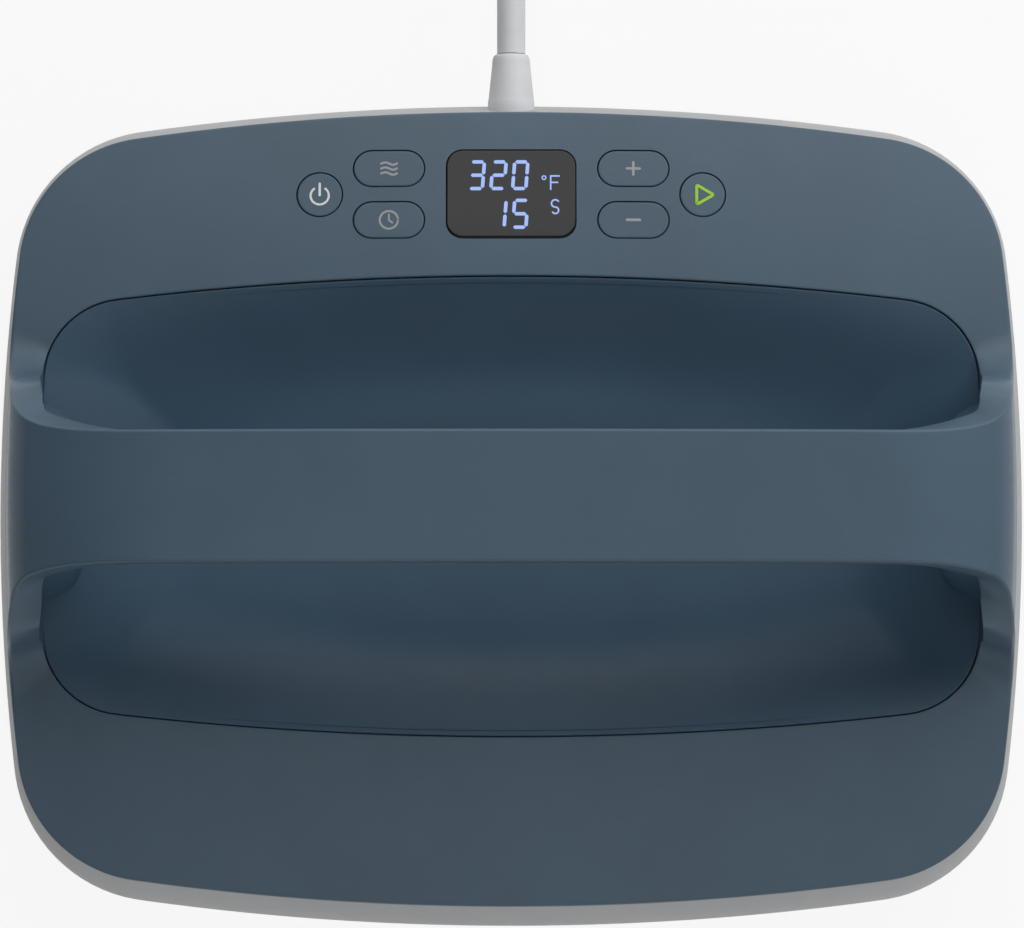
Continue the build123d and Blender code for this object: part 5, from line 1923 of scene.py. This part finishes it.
@dataclass
class MainsCord:
    """The mains cord: its free lead, its stored coil and the tail to the plug, in one spline."""

    diameter: float = 9.4
    length: float = 1660.0
    coil_start: float = 67.6
    coil_pitch: float = 12.0
    coil_layer: float = 10.0
    coil_low: float = 5.9
    coil_y: float = 266.0
    per_turn: int = 16

    LEAD = [(0, 152, 33.6), (0, 180, 33.6), (0, 210, 21.4), (0, 238, 5.9), (0, 266, 5.9)]
    TAIL = [(70.6, 330.6, 15.9), (95, 330.6, 15.9), (122, 323, 13), (144, 304, 10.5), (155, 278, 10.5)]

    def coil(self) -> list[Point]:
        """Points round the coil's turns, clockwise from above, between the lead and the tail."""
        step = self.coil_pitch / 2
        inward = [self.coil_start - step * k for k in range(5)]
        outward = [inward[-1] + step * k for k in range(5)]
        radii = inward + outward
        heights = [self.coil_low] * 5 + [self.coil_low + self.coil_layer] * 5
        half = self.per_turn // 2
        points = []
        for index in range(1, 8 * half + half // 2 + 1):
            place = index / half
            at = min(int(place), 8)
            share = place - at
            radius = lerp(radii[at], radii[at + 1], share)
            ease = (1 - cos(pi * share)) / 2
            z = lerp(heights[at], heights[at + 1], ease)
            angle = pi - pi * place
            grow = 1 / (0.75 + 0.25 * cos(pi / half))
            x = self.coil_start + radius * grow * cos(angle)
            y = self.coil_y + radius * grow * sin(angle)
            points.append((x, y, z))
        return points[:-1]

    def route(self) -> list[Point]:
        """The control points of the whole cord."""
        return [*self.LEAD, *self.coil(), *self.TAIL]

    def make(self, with_pieces: Sequence[bpy.types.Object]) -> None:
        """The cord as a bevelled spline on the press's fixed body."""
        curve = bpy.data.curves.new("mains_cord", "CURVE")
        curve.dimensions = "3D"
        curve.bevel_depth = self.diameter / 2 * MM
        curve.bevel_resolution = 7
        curve.use_fill_caps = True
        route = self.route()
        spline = curve.splines.new("NURBS")
        spline.points.add(len(route) - 1)
        for point, place in zip(spline.points, route):
            point.co = (*(v * MM for v in place), 1.0)
        spline.order_u = 3
        spline.use_endpoint_u = True
        spline.resolution_u = 8
        curve.materials.append(Finish.CORD.paint)
        cord = linked("mains_cord", curve)
        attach(cord, "root")
        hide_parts("cord_lead", "cord_coil", "cord_tail")
        tuple(v * MM for v in self.LEAD[0])


@dataclass
class StrainBoot:
    """The tapered boot at the back, with a domed end and a narrow foot at the wall."""

    height: float = 33.6
    start_y: float = 128.6
    foot_end_y: float = 136.4
    shoulder_y: float = 148.6
    end_y: float = 152.0
    foot_radius: float = 7.7
    neck_radius: float = 7.55
    shoulder_radius: float = 6.3
    cord_radius: float = 4.9

    def profile(self) -> list[Flat]:
        """Radius and y along the boot, from inside the wall to the cord."""
        line = [
            (self.foot_radius - 0.4, self.start_y),
            (self.foot_radius, self.start_y + 0.4),
            (self.foot_radius, self.foot_end_y - 0.3),
            (self.foot_radius - 0.12, self.foot_end_y),
            (self.neck_radius, self.foot_end_y + 0.12),
        ]
        for s in shares(8)[1:]:
            y = lerp(self.foot_end_y + 0.12, self.shoulder_y, s)
            line.append((lerp(self.neck_radius, self.shoulder_radius, s), y))
        for s in shares(8)[1:]:
            angle = pi / 2 * s
            radius = lerp(self.cord_radius, self.shoulder_radius, cos(angle) ** 0.8)
            line.append((radius, lerp(self.shoulder_y, self.end_y - 0.3, sin(angle))))
        line.append((self.cord_radius - 0.15, self.end_y - 0.9))
        return line

    def make(self) -> bpy.types.Object:
        """The boot as a closed mesh."""
        skin = Skin()
        rows = []
        for r, y in self.profile():
            rows.append([(r * nx, y, self.height + r * nz) for nx, nz in unit_circle(64)])
        skin.tube(rows)
        boot = skin.build("cord_boot", Finish.BOOT, 50)
        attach(boot, "root")
        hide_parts("strain_relief")
        return boot


@dataclass
class Plug:
    """The three-pin plug at the cord's far end."""

    length: float = 36.0
    neck: float = 12.0
    half_width: float = 12.5
    half_height: float = 10.5
    corner: float = 6.0
    shoulder: float = 0.7
    neck_blend: float = 4.0
    grip_end: float = 3.0
    grip_depth: float = 0.9
    end_round: float = 1.5

    def frame(self) -> Matrix:
        """The plug's own axes: z along the cord, y up."""
        last, before = Vector(MainsCord.TAIL[-1]), Vector(MainsCord.TAIL[-2])
        along = Vector((last.x - before.x, last.y - before.y, 0)).normalized()
        up = Vector((0, 0, 1))
        axes = Matrix((along.cross(up), up, along)).transposed().to_4x4()
        return Matrix.Translation(last) @ axes

    def section(self, half_width: float, half_height: float, corner: float, z: float) -> Row:
        """A rounded section of the plug at a distance along it."""
        frame = self.frame()
        loop = soft_rectangle(half_width, half_height, corner, 7)
        return [tuple(frame @ Vector((x, y, z))) for x, y, _, _ in loop]

    def body(self) -> bpy.types.Object:
        """The moulded body with its grip hollows."""
        skin = Skin()
        rows = [self.section(5.0, 5.0, 5.0, 0.0), self.section(6.2, 6.2, 6.2, 0.6)]
        slim = (self.half_width - self.shoulder, self.half_height - self.shoulder)
        grip = self.neck + self.neck_blend
        for s in shares(8)[1:]:
            wide, high, corner = mix((6.4, 6.4, 6.2), (*slim, self.corner), smoothstep(s))
            rows.append(self.section(wide, high, corner, lerp(1.0, grip, s)))
        for s in shares(8)[1:]:
            wide, high = mix(slim, (self.half_width, self.half_height), s)
            wide -= self.grip_depth * sin(pi * s) ** 2
            z = lerp(grip, self.length - self.grip_end, s)
            rows.append(self.section(wide, high, self.corner, z))
        for inset, down in quarter_round(self.end_round, 5)[1:]:
            shape = (self.half_width - inset, self.half_height - inset, self.corner - inset)
            rows.append(self.section(*shape, self.length - down))
        skin.tube(rows)
        body = skin.build("plug_moulding", Finish.CORD, 50)
        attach(body, "root")
        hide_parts("plug_body")
        return body


@dataclass
class CoilTie:
    """The soft strap that holds the coil."""

    inner_x: float = 105.7
    outer_x: float = 134.5
    low: float = 0.5
    high: float = 21.6
    y: float = 266.0
    corner: float = 5.5
    half_width: float = 7.0
    thickness: float = 0.9

    def make(self) -> bpy.types.Object:
        """The strap as a closed band with rounded edges."""
        skin = Skin()
        cx, cz = (self.inner_x + self.outer_x) / 2, (self.low + self.high) / 2
        loop = soft_rectangle(self.outer_x - cx, self.high - cz, self.corner, 8)
        rows = []
        half = self.thickness / 2
        for out, wide in unit_circle(12):
            push = half * out
            flat = 0.0 if abs(wide) < 1e-6 else (self.half_width - half) * (1 if wide > 0 else -1)
            y = self.y + flat + (half * wide if flat else 0.0)
            rows.append([(cx + x + nx * push, y, cz + z + nz * push) for x, z, nx, nz in loop])
        skin.grid(rows + [rows[0]], closed=True)
        tie = skin.build("coil_strap", Finish.INNER, 40)
        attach(tie, "root")
        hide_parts("coil_tie")
        return tie


# Screws by Geometry Nodes


@dataclass(frozen=True)
class ScrewKind:
    """A pan-head screw: its sizes, the height of its head's seat and where it stands."""

    name: str
    node: str
    seat: float
    reach: float
    upward: bool
    spots: tuple[Flat, ...]
    head_radius: float = 3.0
    head_height: float = 2.2
    shank_radius: float = 1.3
    pitch: float = 1.0
    drive_width: float = 0.8
    drive_depth: float = 1.1

    def sizes(self) -> dict[str, float]:
        """The node tree's inputs by name, in metres and turns."""
        return {
            "Head Radius": self.head_radius * MM,
            "Head Height": self.head_height * MM,
            "Shank Radius": self.shank_radius * MM,
            "Shank Length": self.reach * MM,
            "Thread Turns": (self.reach - 1.0) / self.pitch,
            "Drive Width": self.drive_width * MM,
            "Drive Depth": self.drive_depth * MM,
            "Turn Over": 0.0 if self.upward else pi,
        }


@dataclass
class ScrewSets:
    """The press's pan-head screws, each set made by one node tree that stands it on points."""

    plate_spots: tuple[Flat, ...] = (
        (-102, 74), (102, 74), (-102, -74), (102, -74), (-30, 74), (-30, -74), (-102, 0), (104, 0)
    )
    handle_spots: tuple[Flat, ...] = tuple((x, HANDLE_CENTRE_Y) for x in (-105, -40, 40, 105))

    def kinds(self) -> list[ScrewKind]:
        """The three sets."""
        wells = tuple(BaseHousing().wells())
        return [
            ScrewKind("cover_screw_set", "cover_screws", 22.0, 18.0, True, wells),
            ScrewKind("plate_screw_set", "plate_screws", 28.5, 23.0, False, self.plate_spots),
            ScrewKind("handle_screw_set", "handle_screws", 106.0, 11.0, True, self.handle_spots),
        ]

    def head(self, tree: Tree, given: dict[str, Socket]) -> Socket:
        """The head, a short lathe with a rounded top and a cross recess."""
        radius, width, depth = given["Head Radius"], given["Drive Width"], given["Drive Depth"]
        bottom = tree.node("ShaderNodeCombineXYZ", {"Z": 0.0 - given["Head Height"]})
        body = self.tapered(tree, bottom, 12, (5.0, 0.22), radius, 40)
        slots = []
        for x, y, z in ((radius * 1.3, width, depth * 2.195), (width, radius * 1.2, depth * 2.0)):
            size = tree.node("ShaderNodeCombineXYZ", {"X": x, "Y": y, "Z": z})
            box = tree.node("GeometryNodeMeshCube", {0: size})
            move = {"Geometry": box, "Translation": bottom}
            slots.append(tree.node("GeometryNodeTransform", move))
        return tree.node("GeometryNodeMeshBoolean", {0: body, 1: slots}, operation="DIFFERENCE")

    def lathe(self, tree: Tree, line: Socket, ring: Socket, radius: Socket) -> Socket:
        """A capped tube round a line whose radius changes along it."""
        inputs = {"Curve": line, "Profile Curve": ring, "Scale": radius, "Fill Caps": True}
        return tree.node("GeometryNodeCurveToMesh", inputs)

    def tapered(
        self,
        tree: Tree,
        end: Socket,
        count: int,
        taper: Flat,
        radius: Socket,
        sides: int,
    ) -> Socket:
        """A capped tube from the origin that gets thinner towards its end.

        Args:
            tree: takes the nodes.
            end: where the tube ends.
            count: how many rings it has.
            taper: the exponent with which it gets thinner, and the share that it loses.
            radius: its radius at the origin.
            sides: how many sides it has.

        Returns:
            The tube's mesh.
        """
        exponent, loss = taper
        line = tree.node("GeometryNodeCurvePrimitiveLine", {"End": end})
        line = tree.node("GeometryNodeResampleCurve", {"Curve": line, "Count": count})
        along = tree.node("GeometryNodeSplineParameter")
        ring = tree.node("GeometryNodeCurvePrimitiveCircle", {"Resolution": sides, "Radius": 1.0})
        return self.lathe(tree, line, ring, (1.0 - along.power(exponent) * loss) * radius)

    def shank(self, tree: Tree, given: dict[str, Socket]) -> list[Socket]:
        """The shank with its pointed end, and the thread that winds round it."""
        top = tree.node("ShaderNodeCombineXYZ", {"Z": given["Shank Length"]})
        core = self.tapered(tree, top, 20, (14.0, 0.5), given["Shank Radius"], 24)
        coil = {
            "Resolution": 20,
            "Rotations": given["Thread Turns"],
            "Start Radius": given["Shank Radius"],
            "End Radius": given["Shank Radius"],
            "Height": given["Shank Length"] - 1.0 * MM,
        }
        spiral = tree.node("GeometryNodeCurveSpiral", coil)
        bead = tree.node("GeometryNodeCurvePrimitiveCircle", {"Resolution": 6, "Radius": 1.0})
        thread = self.lathe(tree, spiral, bead, given["Shank Radius"] * 0.16)
        return [core, thread]

    def tree(self) -> bpy.types.NodeTree:
        """The node tree: a screw from its sizes, stood on every point and made real."""
        group = bpy.data.node_groups.new("screw_tree", "GeometryNodeTree")
        face = group.interface
        face.new_socket("Geometry", in_out="INPUT", socket_type="NodeSocketGeometry")
        face.new_socket("Geometry", in_out="OUTPUT", socket_type="NodeSocketGeometry")
        names = list(self.kinds()[0].sizes())
        for name in names:
            face.new_socket(name, in_out="INPUT", socket_type="NodeSocketFloat")
        tree = Tree.over(group)
        start = group.nodes.new("NodeGroupInput")
        given = {name: Socket(tree, start.outputs[name]) for name in names}
        parts = [self.head(tree, given), *self.shank(tree, given)]
        screw = tree.node("GeometryNodeJoinGeometry", {0: parts})
        turn = tree.node("ShaderNodeCombineXYZ", {"X": given["Turn Over"]})
        places = {"Points": Socket(tree, start.outputs[0]), "Instance": screw, "Rotation": turn}
        stood = tree.node("GeometryNodeInstanceOnPoints", places)
        real = tree.node("GeometryNodeRealizeInstances", {0: stood})
        paint = {"Geometry": real, "Material": Finish.ZINC.paint}
        painted = tree.node("GeometryNodeSetMaterial", paint)
        finish = group.nodes.new("NodeGroupOutput")
        tree.links.new(painted.output, finish.inputs[0])
        return group

    def stand(self, group: bpy.types.NodeTree, kind: ScrewKind) -> None:
        """One set as a plain mesh on the press's fixed body."""
        mesh = bpy.data.meshes.new(kind.name)
        mesh.from_pydata([(x * MM, y * MM, kind.seat * MM) for x, y in kind.spots], [], [])
        screws = linked(kind.name, mesh)
        modifier = screws.modifiers.new("screws", "NODES")
        modifier.node_group = group
        for socket in group.interface.items_tree:
            if socket.in_out == "INPUT" and socket.name in kind.sizes():
                modifier[socket.identifier] = kind.sizes()[socket.name]
        graph = bpy.context.evaluated_depsgraph_get()
        solid = bpy.data.meshes.new_from_object(screws.evaluated_get(graph))
        screws.modifiers.remove(modifier)
        screws.data = solid
        solid.materials.clear()
        solid.materials.append(Finish.ZINC.paint)
        solid.polygons.foreach_set("material_index", [0] * len(solid.polygons))
        solid.shade_smooth()
        solid.set_sharp_from_angle(angle=radians(35))
        LOG.info("%s: %d faces", kind.name, len(solid.polygons))
        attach(screws, "root")
        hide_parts(kind.node)

    def make(self) -> None:
        """All the sets."""
        group = self.tree()
        for kind in self.kinds():
            self.stand(group, kind)


CAD_FINISHES = {
    Finish.STEEL: ("heating_element", "temperature_sensors"),
    Finish.FELT: ("insulation_blanket",),
    Finish.ZINC: (
        "heat_shield",
        "plate_posts",
        "power_board_screws",
        "control_board_screws",
        "clamp_screws",
    ),
    Finish.SILICONE: ("plate_seal",),
    Finish.INNER: (
        "chassis",
        "power_module",
        "triac",
        "display_module",
        "buzzer",
        "key_switches",
        "cord_clamp",
        *(f"{key.name}_plunger" for key in PANEL.keys()),
    ),
    Finish.BOARD: ("power_board", "terminal_block", "control_board"),
    Finish.BLUE: ("relay", "storage_capacitor"),
    Finish.GLASS: ("mains_fuse",),
    Finish.YELLOW: ("filter_capacitor",),
    Finish.ALUMINIUM: ("triac_heatsink", "thermal_fuse"),
    Finish.WIRE: ("mains_wires", "plate_wires"),
    Finish.RIBBON: ("ribbon_cable",),
    Finish.CORD: ("cord_inner_end",),
    Finish.NICKEL: ("plug_blades",),
}


def dress_cad_nodes(nodes: dict[str, bpy.types.Object]) -> None:
    """Gives every CAD node that stays its finish."""
    for finish, names in CAD_FINISHES.items():
        for name in names:
            for slot in nodes[name].material_slots:
                slot.material = finish.paint


# Studio


@dataclass(frozen=True)
class Lamp:
    """A soft lamp: its angles from upright to the back and to the right, and its size."""

    name: str
    back: float
    side: float
    power: float
    distance: float = 2.0
    size: float = 1.2


@dataclass
class Studio:
    """The camera, the floor and the lamps."""

    aim: Point = (0.27, 17.3, 10.0)
    distance: float = 3000.0
    tilt: float = 4.0
    pixels_per_mm: float = 3.0
    width_px: int = 1024
    sensor: float = 36.0
    floor_half: float = 4.0
    floor_z: float = -0.5
    floor_white: float = 0.9
    surround: float = 0.02
    wall_low: float = 0.1
    wall_high: float = 0.25
    lamps: tuple[Lamp, ...] = (
        Lamp("right_rear_lamp", 45.0, 35.0, 12.4),
        Lamp("rear_lamp", 40.0, 0.0, 7.2),
        Lamp("low_rear_lamp", 60.0, 0.0, 6.2),
        Lamp("front_lamp", -20.0, 0.0, 4.7),
        Lamp("low_front_lamp", -60.0, 0.0, 3.0),
        Lamp("right_front_lamp", -45.0, 35.0, 3.9),
        Lamp("right_lamp", 0.0, 55.0, 1.2),
    )

    def camera(self) -> None:
        """The camera, nearly straight above the press."""
        data = bpy.data.cameras.new("camera")
        data.sensor_width = self.sensor
        data.sensor_fit = "HORIZONTAL"
        data.lens = self.sensor * self.distance / (self.width_px / self.pixels_per_mm)
        data.clip_end = 50.0
        camera = linked("camera", data)
        lean = radians(self.tilt)
        offset = Vector((0, -sin(lean), cos(lean))) * self.distance
        camera.location = (Vector(self.aim) + offset) * MM
        camera.rotation_euler = (lean, 0.0, 0.0)
        bpy.context.scene.camera = camera

    def seen_by_eye(self, tree: Tree) -> Socket:
        """1 for what is seen straight, mirrored or through glass, else 0."""
        seen = [
            tree.node("ShaderNodeLightPath", output=f"Is {ray} Ray")
            for ray in ("Camera", "Glossy", "Transmission")
        ]
        return seen[0] + seen[1] + seen[2]

    def floor(self) -> None:
        """A plain pale floor that looks nearly white and keeps a faint shadow."""
        size = self.floor_half
        mesh = bpy.data.meshes.new("floor")
        corners = [(-size, -size, 0), (size, -size, 0), (size, size, 0), (-size, size, 0)]
        mesh.from_pydata(corners, [], [(0, 1, 2, 3)])
        tree = Tree("floor_white")
        tree.set(Base_Color=(0.8, 0.8, 0.8), Roughness=0.9)
        white = (1.0, 1.0, 1.0)
        glow = tree.node("ShaderNodeEmission", {"Color": white, "Strength": 1.0})
        plain_floor = Socket(tree, tree.shader.outputs[0])
        factor = self.seen_by_eye(tree) * self.floor_white
        mixed = tree.node("ShaderNodeMixShader", {0: factor, 1: plain_floor, 2: glow})
        tree.links.new(mixed.output, tree.end.inputs["Surface"])
        mesh.materials.append(tree.material)
        floor = linked("floor", mesh)
        floor.location = (0, 0, self.floor_z * MM)

    def lamp(self, lamp: Lamp) -> None:
        """Sets up one square soft lamp that looks at the press."""
        data = bpy.data.lights.new(lamp.name, "AREA")
        data.energy = lamp.power
        data.size = lamp.size
        thing = linked(lamp.name, data)
        back, side = radians(lamp.back), radians(lamp.side)
        way = Vector((sin(side), sin(back) * cos(side), cos(back) * cos(side)))
        thing.location = way * lamp.distance
        thing.rotation_euler = way.to_track_quat("Z", "Y").to_euler()

    def world(self) -> None:
        """A dim surround with a wall that looks white up to a little above the horizon."""
        world = bpy.data.worlds.new("surround")
        world.use_nodes = True
        tree = Tree.over(world.node_tree)
        background = tree.nodes["Background"]
        background.inputs["Color"].default_value = (1.0, 1.0, 1.0, 1.0)
        way = tree.node("ShaderNodeTexCoord", output="Generated")
        height = tree.node("ShaderNodeSeparateXYZ", {0: way}, "Z")
        wall = (1.0 - height.smooth(self.wall_low, self.wall_high)) * self.seen_by_eye(tree)
        tree.feed(background.inputs["Strength"], wall + self.surround)
        bpy.context.scene.world = world

    def light(self) -> None:
        """Sets up the surround and all the lamps."""
        self.world()
        for lamp in self.lamps:
            self.lamp(lamp)


def main() -> None:
    """Builds the whole scene in order."""
    logging.basicConfig(level=logging.INFO, format="%(name)s: %(message)s")
    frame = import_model()
    bpy.context.scene.view_settings.view_transform = "Standard"
    nodes = frame["nodes"]
    studio = Studio()
    studio.camera()
    boot = StrainBoot().make()
    plug = Plug().body()
    tie = CoilTie().make()
    MainsCord().make([boot, plug, tie, nodes["plug_blades"]])
    studio.floor()
    studio.light()
    dress_cad_nodes(nodes)
    TopCover().make()
    HandleUnderside().make()
    RecessLiner().make()
    BaseHousing().make()
    HeatPlate().make()
    ScrewSets().make()
    KeyCaps().make()
    display = Display()
    display.window()
    display.figures()


if __name__ == "__main__":
    main()
